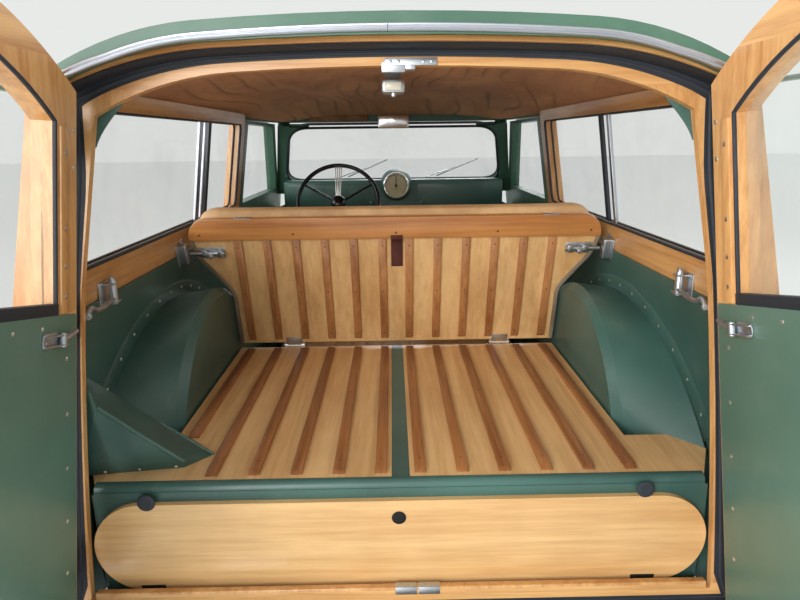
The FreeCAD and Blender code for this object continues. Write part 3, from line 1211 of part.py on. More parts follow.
RAKE = math.radians(S.steering_rake)
wheel_middle = Vector(S.steering_x, ahead(S.steering_y), S.steering_z)
column_way = Vector(0, math.cos(RAKE), -math.sin(RAKE))
column_length = (ahead(S.firewall_y) - ahead(S.steering_y)) / math.cos(RAKE)
column_end = wheel_middle + column_way * (column_length - S.column_radius)
column = rod(S.column_radius, wheel_middle + column_way * S.column_start, column_end)
column_bore = rod(S.spindle_radius + S.running_gap, wheel_middle + column_way * (S.column_start - 1),
                  wheel_middle + column_way * (S.column_start + 200))
column_base = block(S.steering_x - S.column_base, S.steering_x + S.column_base, S.firewall_y - 30,
                    S.firewall_y, column_end.z - S.column_base, column_end.z + S.column_base)
piece("steering_column", fuse([column, column_base]).cut(column_bore))
rim = Part.makeTorus(S.steering_radius - S.steering_rim, S.steering_rim, wheel_middle, column_way)
hub = rod(30, wheel_middle - column_way * 6, wheel_middle + column_way * 22)
spindle = rod(S.spindle_radius, wheel_middle, wheel_middle + column_way * (S.column_start + 180))
spokes = []
spoke_reach = S.steering_radius - S.steering_rim
for angle in (90, 210, 330):
    turn = Rotation(column_way, angle)
    arm = turn.multVec(Vector(1, 0, 0))
    spokes.append(rod(6, wheel_middle + column_way * 6, wheel_middle + arm * spoke_reach))
piece("steering_wheel", fuse([rim, hub, spindle] + spokes))

# Front suspension: crossmember, arms and kingpins

king_low = S.tyre_radius - S.kingpin_height / 2
king_high = S.tyre_radius + S.kingpin_height / 2
front_y = FRONT_AXLE
crossmember = sized_box("crossmember", "2 * #crossmember_half", "110", "60",
                        "-#crossmember_half", "#rear_axle_y + #wheelbase - 55", "#tyre_radius - 80")
suspension = [crossmember]
for name, side in SIDES:
    x_low = "#crossmember_half - 20" if side > 0 else "-#kingpin_x - 24"
    arm_length = "#kingpin_x - #crossmember_half + 44"
    suspension.append(sized_box(f"lower_arm_{name}", arm_length, "#arm_width", "#arm_height", x_low,
                                "#rear_axle_y + #wheelbase - #arm_width / 2",
                                "#tyre_radius - #kingpin_height / 2 - #arm_height"))
    suspension.append(sized_box(f"upper_arm_{name}", arm_length, "#arm_width", "#arm_height", x_low,
                                "#rear_axle_y + #wheelbase - #arm_width / 2",
                                "#tyre_radius + #kingpin_height / 2"))
    tower_x = "#crossmember_half - 20" if side > 0 else "-#crossmember_half - 40"
    suspension.append(sized_box(f"tower_{name}", "60", "90", "#kingpin_height / 2 + #arm_height + 80",
                                tower_x, "#rear_axle_y + #wheelbase - 45", "#tyre_radius - 80"))
    pin_x = "#kingpin_x" if side > 0 else "-#kingpin_x"
    suspension.append(sized_cylinder(f"kingpin_{name}", "#kingpin_radius", "#kingpin_height + 2 * #arm_height",
                                     pin_x, "#rear_axle_y + #wheelbase",
                                     "#tyre_radius - #kingpin_height / 2 - #arm_height", Vector(0, 0, 1)))
    bearer_x = "#crossmember_half - 20" if side > 0 else "-#inner_wing_x"
    suspension.append(sized_box(f"bearer_{name}", "#inner_wing_x - #crossmember_half + 20", "60",
                                "40", bearer_x, "#rear_axle_y + #wheelbase - 30",
                                "#inner_wing_low - 8"))
sized_fusion("front_suspension", suspension)

# Knuckles with their stub axles

stub_end = S.front_track / 2 + 34
for name, side in SIDES:
    x = S.kingpin_x
    on_axle = at_y(front_y)
    post = rod(26, on_axle(x, king_low + 2 * S.seat_gap), on_axle(x, king_high - 2 * S.seat_gap))
    stub = rod(S.stub_radius, on_axle(x, S.tyre_radius), on_axle(stub_end, S.tyre_radius))
    boss = rod(34, on_axle(x, S.tyre_radius), on_axle(x + 40, S.tyre_radius))
    arm = block(x - 14, x + 14, front_y - 150, front_y, S.tyre_radius - 60, S.tyre_radius - 44)
    bore = rod(S.kingpin_radius + S.running_gap, on_axle(x, 0), on_axle(x, 800))
    knuckle = fuse([post, stub, boss, arm]).cut(bore)
    piece(f"knuckle_{name}", knuckle if side > 0 else knuckle.mirror(*MIRROR))

# Rear axle with its leaf springs

axle_z = S.tyre_radius
axle = rod(S.axle_tube_radius, Vector(-S.axle_half, ahead(0), axle_z), Vector(S.axle_half, ahead(0), axle_z))
rear_stub = rod(S.stub_radius, Vector(-S.rear_track / 2 - 34, ahead(0), axle_z),
                Vector(S.rear_track / 2 + 34, ahead(0), axle_z))
diff = rod(S.diff_radius, Vector(-60, ahead(0), axle_z), Vector(60, ahead(0), axle_z))
pinion_reach = 150
pinion = rod(40, Vector(0, ahead(0), axle_z), Vector(0, ahead(pinion_reach), axle_z))
axle_shapes = [axle, rear_stub, diff, pinion]
seat_z = axle_z - S.axle_tube_radius


def spring_arc(x, drop):
    """Leaf pack under the axle, bowed up to its eyes."""
    low = seat_z - drop
    reach, rise = S.spring_reach, S.spring_rise
    end = low + rise
    under = end - S.spring_leaves
    outline = wire(at_x(x - S.spring_width / 2), (-reach, end), ((0, low), (reach, end)), (reach, under),
                   ((0, low - S.spring_leaves), (-reach, under)))
    return prism(outline, Vector(S.spring_width, 0, 0))


for x in (-S.spring_x, S.spring_x):
    axle_shapes.append(spring_arc(x, -2.0))
    eye_z = seat_z + 2 + S.spring_rise - S.spring_leaves / 2
    for y in (-S.spring_reach, S.spring_reach):
        axle_shapes.append(rod(14, Vector(x - S.spring_width / 2, ahead(y), eye_z),
                               Vector(x + S.spring_width / 2, ahead(y), eye_z)))
    axle_shapes.append(block(x - 14, x + 14, -S.spring_reach - 8, -S.spring_reach + 8, eye_z,
                             S.well_floor_z - S.plate))
    axle_shapes.append(block(x - 14, x + 14, S.spring_reach - 8, S.spring_reach + 8, eye_z, pan_z - S.plate))
piece("rear_axle", fuse(axle_shapes))

# Engine, gearbox, propeller shaft and exhaust

engine_rear = "#rear_axle_y + #wheelbase - #engine_setback"
engine_y = FRONT_AXLE - S.engine_setback
engine = sized_box("engine_block", "#engine_width", "#engine_length", "#engine_height",
                   "-#engine_width / 2", engine_rear, "#engine_bottom")
gearbox = doc.addObject("Part::Feature", "gearbox_case")
gearbox.Shape = block(-S.gearbox_width / 2, S.gearbox_width / 2, engine_y - S.gearbox_length, engine_y + 20,
                      S.gearbox_bottom, S.gearbox_bottom + S.gearbox_height)
mounts = [sized_box(f"engine_mount_{name}", "#inner_wing_x - #engine_width / 2 + 2", "60", "40",
                    "#engine_width / 2 - 2" if side > 0 else "-#inner_wing_x",
                    engine_rear + " + 120", "#inner_wing_low + 10") for name, side in SIDES]
sized_fusion("engine_and_gearbox", [engine, gearbox] + mounts)
shaft_start = Vector(0, ahead(pinion_reach), axle_z)
shaft_end = Vector(0, ahead(engine_y - S.gearbox_length), axle_z)
piece("propeller_shaft", rod(S.shaft_radius, shaft_start, shaft_end))

pipe_z = S.exhaust_z
pipe_x = S.exhaust_x
pipe_front = Vector(pipe_x, ahead(engine_y - 60), pipe_z)
pipe_tail = Vector(pipe_x, ahead(-820), pipe_z)
pipe = rod(S.exhaust_radius, pipe_tail, pipe_front)
down_end = Vector(S.engine_width / 2 - 10, ahead(engine_y + 120), S.engine_bottom + 60)
down = rod(S.exhaust_radius, pipe_front, down_end)
elbow = Part.makeSphere(S.exhaust_radius, pipe_front)
silencer = rod(S.silencer_radius, Vector(pipe_x, ahead(90), pipe_z - 12),
               Vector(pipe_x, ahead(90 + S.silencer_length), pipe_z - 12))
hangers = [block(pipe_x - 8, pipe_x + 8, 900, 930, pipe_z, S.floor_z - S.plate),
           block(pipe_x - 8, pipe_x + 8, -230, -200, pipe_z, S.well_floor_z - S.plate)]
exhaust_shape = fuse([pipe, down, elbow, silencer] + hangers)
piece("exhaust", exhaust_shape.cut(block(-S.engine_width / 2, S.engine_width / 2, engine_y, 2500,
                                         S.engine_bottom, 900)))
PIECES.append(sized_box("fuel_tank", "#tank_width", "#tank_length", "#tank_height", "-#tank_width / 2",
                        "#rear_axle_y + #load_rear_y + 20", "#well_floor_z - #plate - #tank_height"))

# Grille, bumpers and lamps

grille_y = S.front_panel_y + 8
frame_outer = block(-S.grille_half, S.grille_half, grille_y, grille_y + 30, S.grille_low, S.grille_top)
frame_inner = block(-S.grille_half + 14, S.grille_half - 14, grille_y - 1, grille_y + 31, S.grille_low + 14,
                    S.grille_top - 14)
bars = [frame_outer.cut(frame_inner)]
pitch = (S.grille_top - S.grille_low) / (S.grille_bars + 1)
for index in range(1, int(S.grille_bars) + 1):
    middle = S.grille_low + index * pitch
    bars.append(block(-S.grille_half + 10, S.grille_half - 10, grille_y + 6, grille_y + 24,
                      middle - S.grille_bar / 2, middle + S.grille_bar / 2))
piece("grille", fuse(bars))


def blade(x0, x1, front, back, z0, z1, bow):
    """Bumper blade, bowed between its ends."""
    mid = (x0 + x1) / 2
    outline = wire(at_z(z0), (x0, back), ((mid, back + bow), (x1, back)), (x1, front),
                   ((mid, front + bow), (x0, front)))
    return prism(outline, Vector(0, 0, z1 - z0))


front_low = S.bumper_z
bow = 40
front_blade = blade(-S.bumper_half, S.bumper_half, S.bumper_y - bow + S.bumper_thickness, S.bumper_y - bow,
                    front_low, front_low + S.bumper_height, bow)
irons = []
for x in (-S.overrider_x, S.overrider_x):
    irons.append(block(x - 22, x + 22, S.front_panel_y + S.front_panel_depth, S.bumper_y, front_low + 36,
                       front_low + 60))
    irons.append(rounded_box(x - 22, x + 22, S.bumper_y + 12, S.bumper_y + 46, front_low - 26,
                             front_low + S.bumper_height + 40, 10))
piece("front_bumper", fuse([front_blade] + irons).cut(nose_plate).cut(front_panel))

rear_blades = []
for x0, x1 in ((-S.bumper_half, -S.rear_bumper_gap), (S.rear_bumper_gap, S.bumper_half)):
    rear_low = S.rear_bumper_z
    rear_blades.append(block(x0, x1, S.rear_bumper_y - S.bumper_thickness, S.rear_bumper_y, rear_low,
                             rear_low + S.bumper_height))
    middle = (x0 + x1) / 2
    rear_blades.append(block(middle - 25, middle + 25, S.rear_bumper_y, S.tail_y + 40, rear_low + 30,
                             rear_low + 54))
    rear_blades.append(block(middle - 25, middle + 25, S.tail_y + 16, S.tail_y + 40, rear_low + 30,
                             S.tail_foot_z + 10))
plate_low = S.rear_bumper_z + 10
plate_board = block(-S.rear_bumper_gap - 6, S.rear_bumper_gap + 6, S.rear_bumper_y, S.rear_bumper_y + 6,
                    plate_low, plate_low + 100)
brackets = [block(x - 20, x + 20, S.rear_bumper_y + 4, S.tail_y + 40, plate_low + 24, plate_low + 44)
            for x in (-180, 180)]
brackets += [block(x - 20, x + 20, S.tail_y + 16, S.tail_y + 40, plate_low + 24, S.tail_foot_z + 10)
             for x in (-180, 180)]
piece("rear_bumpers", fuse(rear_blades + [plate_board] + brackets).cut(hoop))

lamps = []
for side in (-1, 1):
    rim = Vector(side * S.headlamp_x, ahead(S.headlamp_rim_y), S.headlamp_z)
    forward = Vector(0, 1, 0)
    shell = rod(S.headlamp_radius, rim - forward * S.headlamp_depth, rim)
    bowl = Part.makeSphere(S.lens_radius, rim - forward * (S.lens_radius - 40))
    lens = bowl.common(rod(S.headlamp_radius - S.headlamp_edge, rim - forward * 12, rim + forward * 68))
    lamps.append(fuse([shell, lens]))
piece("headlamps", Part.Compound(lamps))

tail_lamps = []
for side in (-1, 1):
    v = tail_height(S.tail_lamp_z)
    x = hinge_edge(v) + 2.4 * S.hinge_barrel
    lamp = Part.makeBox(S.tail_lamp_width, S.tail_lamp_depth, S.tail_lamp_height,
                        Vector(x, -S.tail_lamp_depth, v))
    lamp = lamp.makeFillet(10, [edge for edge in lamp.Edges if edge.BoundBox.YMax < -1])
    lamp.Placement = TAIL
    tail_lamps.append(lamp if side > 0 else lamp.mirror(*MIRROR))
piece("tail_lamps", Part.Compound(tail_lamps))

# Wheels and tyres, turned about their axles


def turned(label, rows, x, y, side):
    """PartDesign body: a profile of (distance outward, radius) turned about the wheel's axis."""
    body = doc.addObject("PartDesign::Body", label)
    body.Label = label
    sketch = body.newObject("Sketcher::SketchObject", f"{label}_profile")
    plane = next(item for item in body.Origin.OriginFeatures if item.Role == "XY_Plane")
    sketch.AttachmentSupport = [(plane, "")]
    sketch.MapMode = "FlatFace"
    points = [(side * float(a), float(r)) for a, r in rows]
    count = len(points)
    for index in range(count):
        here, there = points[index], points[(index + 1) % count]
        sketch.addGeometry(Part.LineSegment(Vector(*here, 0), Vector(*there, 0)), False)
    revolution = body.newObject("PartDesign::Revolution", f"{label}_turned")
    revolution.Profile = sketch
    revolution.ReferenceAxis = (sketch, ["H_Axis"])
    revolution.Angle = 360
    body.Tip = revolution
    body.Placement = FreeCAD.Placement(Vector(side * x, y, S.tyre_radius), Rotation())
    PIECES.append(body)
    return body


half_tread = S.tyre_width * 0.39
half_tyre = S.tyre_width / 2
side_r = (S.tyre_radius + S.rim_radius) / 2
bead = S.rim_width / 2 - S.rim_wall
inside = bead - S.seat_gap
TYRE = [(-inside, S.rim_radius), (-inside, S.rim_radius + 11), (-half_tyre + 6, S.rim_radius + 28),
        (-half_tyre, side_r),
        (-half_tyre + 5, S.tyre_radius - 22), (-half_tread, S.tyre_radius - 3), (0, S.tyre_radius),
        (half_tread, S.tyre_radius - 3), (half_tyre - 5, S.tyre_radius - 22), (half_tyre, side_r),
        (half_tyre - 6, S.rim_radius + 28), (inside, S.rim_radius + 11), (inside, S.rim_radius),
        (inside - 14, S.rim_radius), (inside - 14, S.rim_radius + 14), (-inside + 14, S.rim_radius + 14),
        (-inside + 14, S.rim_radius)]
rim_half = S.rim_width / 2
bore = S.stub_radius + S.running_gap
drop = S.rim_radius - 26
wall = S.rim_wall
flange = S.rim_radius + 10
WHEEL = [(-rim_half, S.rim_radius - wall), (-rim_half, flange), (-bead, flange), (-bead, S.rim_radius),
         (-bead + 26, S.rim_radius), (-bead + 34, drop), (bead - 34, drop), (bead - 26, S.rim_radius),
         (bead, S.rim_radius), (bead, flange), (rim_half, flange), (rim_half, S.rim_radius - wall),
         (bead - 22, S.rim_radius - wall), (bead - 30, drop - wall),
         (22, drop - wall), (30, drop - 30), (34, 70), (22, 62), (22, S.hub_radius), (42, S.hub_radius), (42, bore),
         (-30, bore), (-30, S.hub_radius), (14, S.hub_radius), (14, 66), (24, 74), (20, drop - 28),
         (12, drop - wall), (-bead + 30, drop - wall), (-bead + 22, S.rim_radius - wall)]
for end, track, y in (("front", S.front_track, FRONT_AXLE), ("rear", S.rear_track, 0.0)):
    for name, side in SIDES:
        turned(f"wheel_{end}_{name}", WHEEL, track / 2, ahead(y), side)
        tyre_rows = [(a, r + (S.seat_gap if r == S.rim_radius else 0)) for a, r in TYRE]
        turned(f"tyre_{end}_{name}", tyre_rows, track / 2, ahead(y), side)

# Check and write every piece

doc.recompute()
for feature in doc.Objects:
    if "Invalid" in feature.State or "Error" in feature.State:
        raise RuntimeError(f"{feature.Label} failed: {feature.State}")
os.makedirs("parts", exist_ok=True)
for feature in PIECES:
    if feature.Shape.isNull() or not feature.Shape.isValid() or not feature.Shape.Solids:
        raise RuntimeError(f"{feature.Label} is not a sound solid")
    feature.Shape.exportStep(f"parts/{feature.Label}.step")
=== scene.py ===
"""Dresses a half-timbered station wagon: ash, plywood, green paint, cloth, glass and bright metal."""

import json
import math

import bmesh
import bpy
import numpy as np
from mathutils import Matrix, Vector


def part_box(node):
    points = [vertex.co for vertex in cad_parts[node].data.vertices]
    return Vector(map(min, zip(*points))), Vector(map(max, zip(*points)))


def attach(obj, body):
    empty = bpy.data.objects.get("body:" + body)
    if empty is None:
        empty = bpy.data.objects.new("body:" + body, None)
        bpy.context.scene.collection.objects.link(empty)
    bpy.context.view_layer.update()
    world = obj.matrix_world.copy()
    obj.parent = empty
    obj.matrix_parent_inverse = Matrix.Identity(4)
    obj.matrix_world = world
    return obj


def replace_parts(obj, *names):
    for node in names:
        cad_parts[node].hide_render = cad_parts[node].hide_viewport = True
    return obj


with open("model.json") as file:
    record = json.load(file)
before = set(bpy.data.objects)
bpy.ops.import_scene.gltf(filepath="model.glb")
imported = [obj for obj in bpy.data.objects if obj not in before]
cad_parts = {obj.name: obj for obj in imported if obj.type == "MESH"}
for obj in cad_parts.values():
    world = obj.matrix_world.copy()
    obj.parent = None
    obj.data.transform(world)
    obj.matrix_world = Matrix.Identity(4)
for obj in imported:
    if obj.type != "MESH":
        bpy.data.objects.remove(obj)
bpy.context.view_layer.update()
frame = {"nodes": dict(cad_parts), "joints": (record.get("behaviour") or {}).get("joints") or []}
NODES = frame["nodes"]
JOINTS = {joint["name"]: joint for joint in frame["joints"]}
MM = 0.001
SIDES = (("left", -1), ("right", 1))
AHEAD, BEHIND = (0, 1, 0), (0, -1, 0)
TAIL_DOORS_OPEN = math.radians(90)

# Places on the car, read from the frame. Lengths named _MM are millimetres; y is ahead of the rear axle.

rear_tyre_low, rear_tyre_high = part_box("tyre_rear_right")
AXLE_Y = (rear_tyre_low.y + rear_tyre_high.y) / 2
FLOOR_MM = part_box("load_floor_boards")[1].z / MM
tail_joint = JOINTS["rear_door_right_hinge"]
TAIL_AXIS = Vector(tail_joint["axis"])
TAIL_LEAN = math.atan2(TAIL_AXIS.y, TAIL_AXIS.z)
TAIL_TILT = math.asin(-TAIL_AXIS.x)
TAIL_TURN = Matrix.Rotation(-TAIL_LEAN, 3, "X")
PIN_OUT, PIN_BEHIND = 9.0, 9.6
PIN = Vector(tail_joint["pos_m"])
TAIL_FOOT = PIN - TAIL_TURN @ Vector((PIN.x, -PIN_BEHIND * MM, 0))
TAIL_HALF_MM = PIN.x / MM - PIN_OUT
SEAT_JOINT = Vector(JOINTS["seat_back_fold"]["pos_m"])
SEAT_RECLINE = math.radians(15)


def car(x, y, z):
    """Point in the row frame, in metres, from millimetres with y ahead of the rear axle. Takes arrays too."""
    across, along, up = np.broadcast_arrays(x, y, z)
    return np.stack((across * MM, AXLE_Y + along * MM, up * MM), -1)


def own_axes(x, y, z):
    """Point in the frame's own axes, in metres, from millimetres."""
    return np.stack((x, y, z), -1) * MM


def box_mm(node):
    """Lowest and highest corner of a node, in millimetres."""
    return [np.array(corner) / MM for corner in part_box(node)]


def local(x, y, z, turn, origin):
    """Turns and shifts points given in millimetres in a part's own axes."""
    points = np.stack(np.broadcast_arrays(x, y, z), -1).astype(float)
    return points * MM @ np.array(turn).T + np.array(origin)


def tail(x, depth, up):
    """Point from the leaning tail's own axes: across, forward through the posts, up along the lean."""
    return local(x, depth, up, TAIL_TURN, TAIL_FOOT)


def seat(x, front, up):
    """Point from the reclined backrest's own axes: across, forward through the board, up along it."""
    return local(x, front, up, Matrix.Rotation(SEAT_RECLINE, 3, "X"), SEAT_JOINT)


def tail_door(side):
    """Gives the place on an open tail door of a point in the right door's axes while it is shut."""
    swing = np.array(Matrix.Rotation(TAIL_DOORS_OPEN, 3, TAIL_AXIS))

    def place(x, depth, up):
        return ((tail(x, depth, up) - np.array(PIN)) @ swing.T + np.array(PIN)) * (side, 1, 1)
    return place


# Camera at the photograph's viewing angle

FOCAL_PX = 600.0
IMAGE_W, IMAGE_H = 800.0, 600.0
FORWARD_PX = (391.0, 139.0)
CAMERA_ROLL = math.radians(0.9)
CAMERA_MM = (-9.0, -1766.0, 1311.0)


def camera_turn():
    """World axes seen by the camera: the car's forward axis vanishes at FORWARD_PX."""
    forward = Vector(((FORWARD_PX[0] - IMAGE_W / 2) / FOCAL_PX,
                      (IMAGE_H / 2 - FORWARD_PX[1]) / FOCAL_PX, -1.0))
    forward.normalize()
    up = Vector((-math.sin(CAMERA_ROLL), math.cos(CAMERA_ROLL), 0.0))
    up = (up - forward * up.dot(forward)).normalized()
    return Matrix((forward.cross(up), forward, up))


def linked(name, data):
    """New object in the scene, at the origin."""
    thing = bpy.data.objects.new(name, data)
    bpy.context.scene.collection.objects.link(thing)
    return thing


def make_camera():
    """Camera at CAMERA_MM whose lens gives the photograph's focal length in pixels."""
    data = bpy.data.cameras.new("camera")
    data.sensor_width = 36.0
    data.lens = data.sensor_width * FOCAL_PX / IMAGE_W
    data.clip_start, data.clip_end = 0.01, 100.0
    camera = linked("camera", data)
    camera.matrix_world = Matrix.Translation(Vector(car(*CAMERA_MM))) @ camera_turn().to_4x4()
    bpy.context.scene.camera = camera


make_camera()
bpy.context.scene.view_settings.view_transform = "Standard"


# Shader maths: an expression on sockets adds its nodes

class Value:
    """A socket that takes part in expressions."""

    def __init__(self, nodes, socket):
        self.nodes, self.socket = nodes, socket

    def maths(self, operation, *others):
        return self.nodes.node("ShaderNodeMath", {"operation": operation}, dict(enumerate((self, *others))))

    def __add__(self, other): return self.maths("ADD", other)
    def __radd__(self, other): return self.maths("ADD", other)
    def __sub__(self, other): return self.maths("SUBTRACT", other)
    def __rsub__(self, other): return (self * -1.0) + other
    def __mul__(self, other): return self.maths("MULTIPLY", other)
    def __rmul__(self, other): return self.maths("MULTIPLY", other)
    def above(self, limit): return self.maths("GREATER_THAN", limit)
    def below(self, limit): return self.maths("LESS_THAN", limit)
    def most(self, other): return self.maths("MAXIMUM", other)
    def sine(self): return self.maths("SINE")

    def ramp(self, low, high):
        """Smooth step from 0 at low to 1 at high."""
        return self.nodes.node("ShaderNodeMapRange", {"interpolation_type": "SMOOTHSTEP"},
                               {"Value": self, "From Min": low, "From Max": high})


class Nodes:
    """A tree of shader nodes under construction."""

    def __init__(self, tree):
        self.tree = tree

    def link(self, socket, value):
        """Links a socket to a value, or sets it to a number, a vector or a plain colour."""
        if isinstance(value, Value):
            value = value.socket
        if isinstance(value, bpy.types.NodeSocket):
            self.tree.links.new(value, socket)
        else:
            socket.default_value = (*value, 1.0) if socket.type == "RGBA" else value

    def node(self, kind, settings=None, inputs=None, output=0):
        """Adds a node with its settings and the values or links of its sockets."""
        made = self.tree.nodes.new(kind)
        for key, value in (settings or {}).items():
            setattr(made, key, value)
        for key, value in (inputs or {}).items():
            self.link(made.inputs[key], value)
        return Value(self, made.outputs[output])

    def ray(self, kind):
        """One for rays of a kind, such as Camera, and nothing for others."""
        return self.node("ShaderNodeLightPath", output=f"Is {kind} Ray")


class Paint(Nodes):
    """One material under construction."""

    def __init__(self, name):
        self.material = bpy.data.materials.new(name)
        self.material.use_nodes = True
        super().__init__(self.material.node_tree)
        self.shader = self.tree.nodes["Principled BSDF"]
        self.spot = self.tree.nodes.new("ShaderNodeTexCoord").outputs["Object"]

    def place(self, turn=(0, 0, 0), scale=(1, 1, 1)):
        """Object coordinates, turned and scaled."""
        return self.node("ShaderNodeMapping", {}, {"Vector": self.spot, "Rotation": turn, "Scale": scale})

    def noise(self, scale, detail=3.0, rough=0.5, where=None, warp=0.0):
        return self.node("ShaderNodeTexNoise", {}, {
            "Vector": where or self.spot, "Scale": scale, "Detail": detail,
            "Roughness": rough, "Distortion": warp})

    def axis(self, letter):
        """One of the object coordinates."""
        return self.node("ShaderNodeSeparateXYZ", {}, {0: self.spot}, "XYZ".index(letter))

    def mix(self, factor, first, second):
        """Colour between two colours."""
        return self.node("ShaderNodeMix", {"data_type": "RGBA"}, {0: factor, 6: first, 7: second}, 2)

    def bump(self, height, strength, distance):
        return self.node("ShaderNodeBump", {}, {"Height": height, "Strength": strength, "Distance": distance})

    def finish(self, **sockets):
        """Sets the shader's sockets by name, with _ for spaces."""
        for key, value in sockets.items():
            self.link(self.shader.inputs[key.replace("_", " ")], value)
        return self.material


def srgb(red, green, blue):
    """Linear colour from 0 to 255 screen values."""
    return tuple(((c / 255 + 0.055) / 1.055) ** 2.4 if c > 10 else c / 255 / 12.92
                 for c in (red, green, blue))


# Finishes

def stretched(axis, along, across):
    """Scale that draws a pattern out along one axis."""
    return tuple(along if letter == axis else across for letter in "XYZ")


def timber_tone(paint, axis, turn=(0, 0, 0)):
    """Grain from 0 to 1 along an axis: broad growth bands, finer bands and hair-fine fibres, added."""
    broad = paint.noise(1.0, 3.0, 0.55, paint.place(turn, stretched(axis, 1.1, 16.0)), 0.6)
    fine = paint.noise(1.0, 4.0, 0.6, paint.place(turn, stretched(axis, 3.5, 95.0)), 0.2)
    hair = paint.noise(1.0, 2.0, 0.6, paint.place(turn, stretched(axis, 14.0, 620.0)))
    return broad * 0.5 + fine * 0.32 + hair * 0.18


def grain(axis, turn=(0, 0, 0)):
    """Grain that runs one way all over a piece."""
    return lambda paint: timber_tone(paint, axis, turn)


def frame_grain(rails, foot, head, waist=None, lean=0.0):
    """Grain of a frame: along its rails, below foot, above head and in its waist, and up its posts."""
    def tone(paint):
        z = paint.axis("Z")
        on_rail = z.below(foot).most(z.above(head))
        if waist:
            on_rail = on_rail.most(z.above(waist[0]) * z.below(waist[1]))
        posts = timber_tone(paint, "Z", (-lean, 0, 0))
        return timber_tone(paint, rails) * on_rail + posts * (1.0 - on_rail)
    return tone


def timber_paint(name, light, dark, tone, gloss=0.34, blotch=0.25):
    """Varnished timber from a grain tone: two browns, slow blotches, pores in the bump, a satin coat."""
    paint = Paint(name)
    lines = tone(paint)
    aged = paint.noise(3.1, 4.0, 0.6)
    base = paint.mix(lines.ramp(0.36, 0.66), light, dark)
    tinted = paint.mix(aged.ramp(0.35, 0.75) * blotch, base, tuple(c * 0.55 for c in dark))
    rough = lines * 0.12 + aged * 0.1 + (gloss - 0.1)
    return paint.finish(Base_Color=tinted, Roughness=rough, Coat_Weight=0.25, Coat_Roughness=0.18,
                        Normal=paint.bump(lines, 0.25, 0.0006))


ASH_LIGHT, ASH_DARK = srgb(232, 180, 116), srgb(188, 126, 68)
PLY_LIGHT, PLY_DARK = srgb(236, 194, 134), srgb(206, 156, 98)
SLAT_LIGHT, SLAT_DARK = srgb(176, 116, 66), srgb(120, 70, 36)


def green_paint(name, colour_light, colour_dark, rough=0.3, dust=0.1):
    """Old gloss enamel: slow tone shifts, fine orange peel, dust in patches and hairline scuffs."""
    paint = Paint(name)
    slow = paint.noise(2.3, 3.0)
    grime = paint.noise(9.0, 6.0, 0.65)
    scuff = paint.noise(1.0, 2.0, 0.7, paint.place((0.3, 0.2, 0.5), (12.0, 260.0, 260.0)))
    peel = paint.noise(420.0, 1.0)
    base = paint.mix(slow.ramp(0.3, 0.7), colour_dark, colour_light)
    dusty = paint.mix(grime.ramp(0.52, 0.8) * dust, base, srgb(150, 160, 146))
    marked = paint.mix(scuff.ramp(0.66, 0.78) * 0.25, dusty, srgb(126, 146, 132))
    dull = grime * 0.22 + slow * 0.08 + (rough - 0.12)
    return paint.finish(Base_Color=marked, Roughness=dull, Coat_Weight=0.15, Coat_Roughness=0.2,
                        Normal=paint.bump(peel + slow * 3.0, 0.12, 0.0004))


def plain_metal(name, base, rough, spots=0.25, brushed=None):
    """Bare or plated metal: brushed or polished, with small spots of age."""
    paint = Paint(name)
    age = paint.noise(38.0, 5.0, 0.7)
    film = paint.noise(6.0, 3.0)
    tone = paint.mix(age.ramp(0.58, 0.82) * spots, base, tuple(c * 0.45 for c in base))
    lines = paint.noise(1.0, 2.0, 0.5, paint.place((0, 0, 0), brushed or (160.0, 160.0, 160.0)))
    dull = film * 0.12 + age * 0.1 + lines * 0.08 + rough - 0.14
    return paint.finish(Base_Color=tone, Metallic=1.0, Roughness=dull, Normal=paint.bump(lines, 0.08, 0.0003))


def dark_coat(name, base, rough, grit=160.0, strength=0.3):
    """Black rubber, plastic or chassis paint with fine grit, and dust where it gathers."""
    paint = Paint(name)
    fine = paint.noise(grit, 3.0, 0.6)
    dust = paint.noise(7.0, 5.0, 0.6)
    tone = paint.mix(dust.ramp(0.5, 0.85) * 0.35, base, tuple(c * 1.6 + 0.05 for c in base))
    return paint.finish(Base_Color=tone, Roughness=fine * 0.15 + dust * 0.12 + rough - 0.12,
                        Normal=paint.bump(fine, strength, 0.0005))


def window_pane(name):
    """Clear glass: nearly invisible, with a film of dust that thickens in patches."""
    paint = Paint(name)
    film = paint.noise(5.0, 5.0, 0.6)
    return paint.finish(Base_Color=srgb(196, 214, 206), Roughness=film * 0.05 + 0.01,
                        Alpha=film.ramp(0.4, 0.9) * 0.08 + 0.10, Specular_IOR_Level=0.7)


def hide(name, light, dark, rough=0.5):
    """Seat hide: fine pebbled grain, and paler patches of wear at random."""
    paint = Paint(name)
    cells = {"Vector": paint.spot, "Scale": 330.0}
    pebble = paint.node("ShaderNodeTexVoronoi", {"feature": "DISTANCE_TO_EDGE"}, cells)
    wear = paint.noise(7.0, 4.0, 0.6)
    base = paint.mix(wear.ramp(0.35, 0.7), dark, light)
    return paint.finish(Base_Color=base, Roughness=wear * 0.15 + rough - 0.08,
                        Normal=paint.bump(pebble.ramp(0.0, 0.12), 0.35, 0.0006))


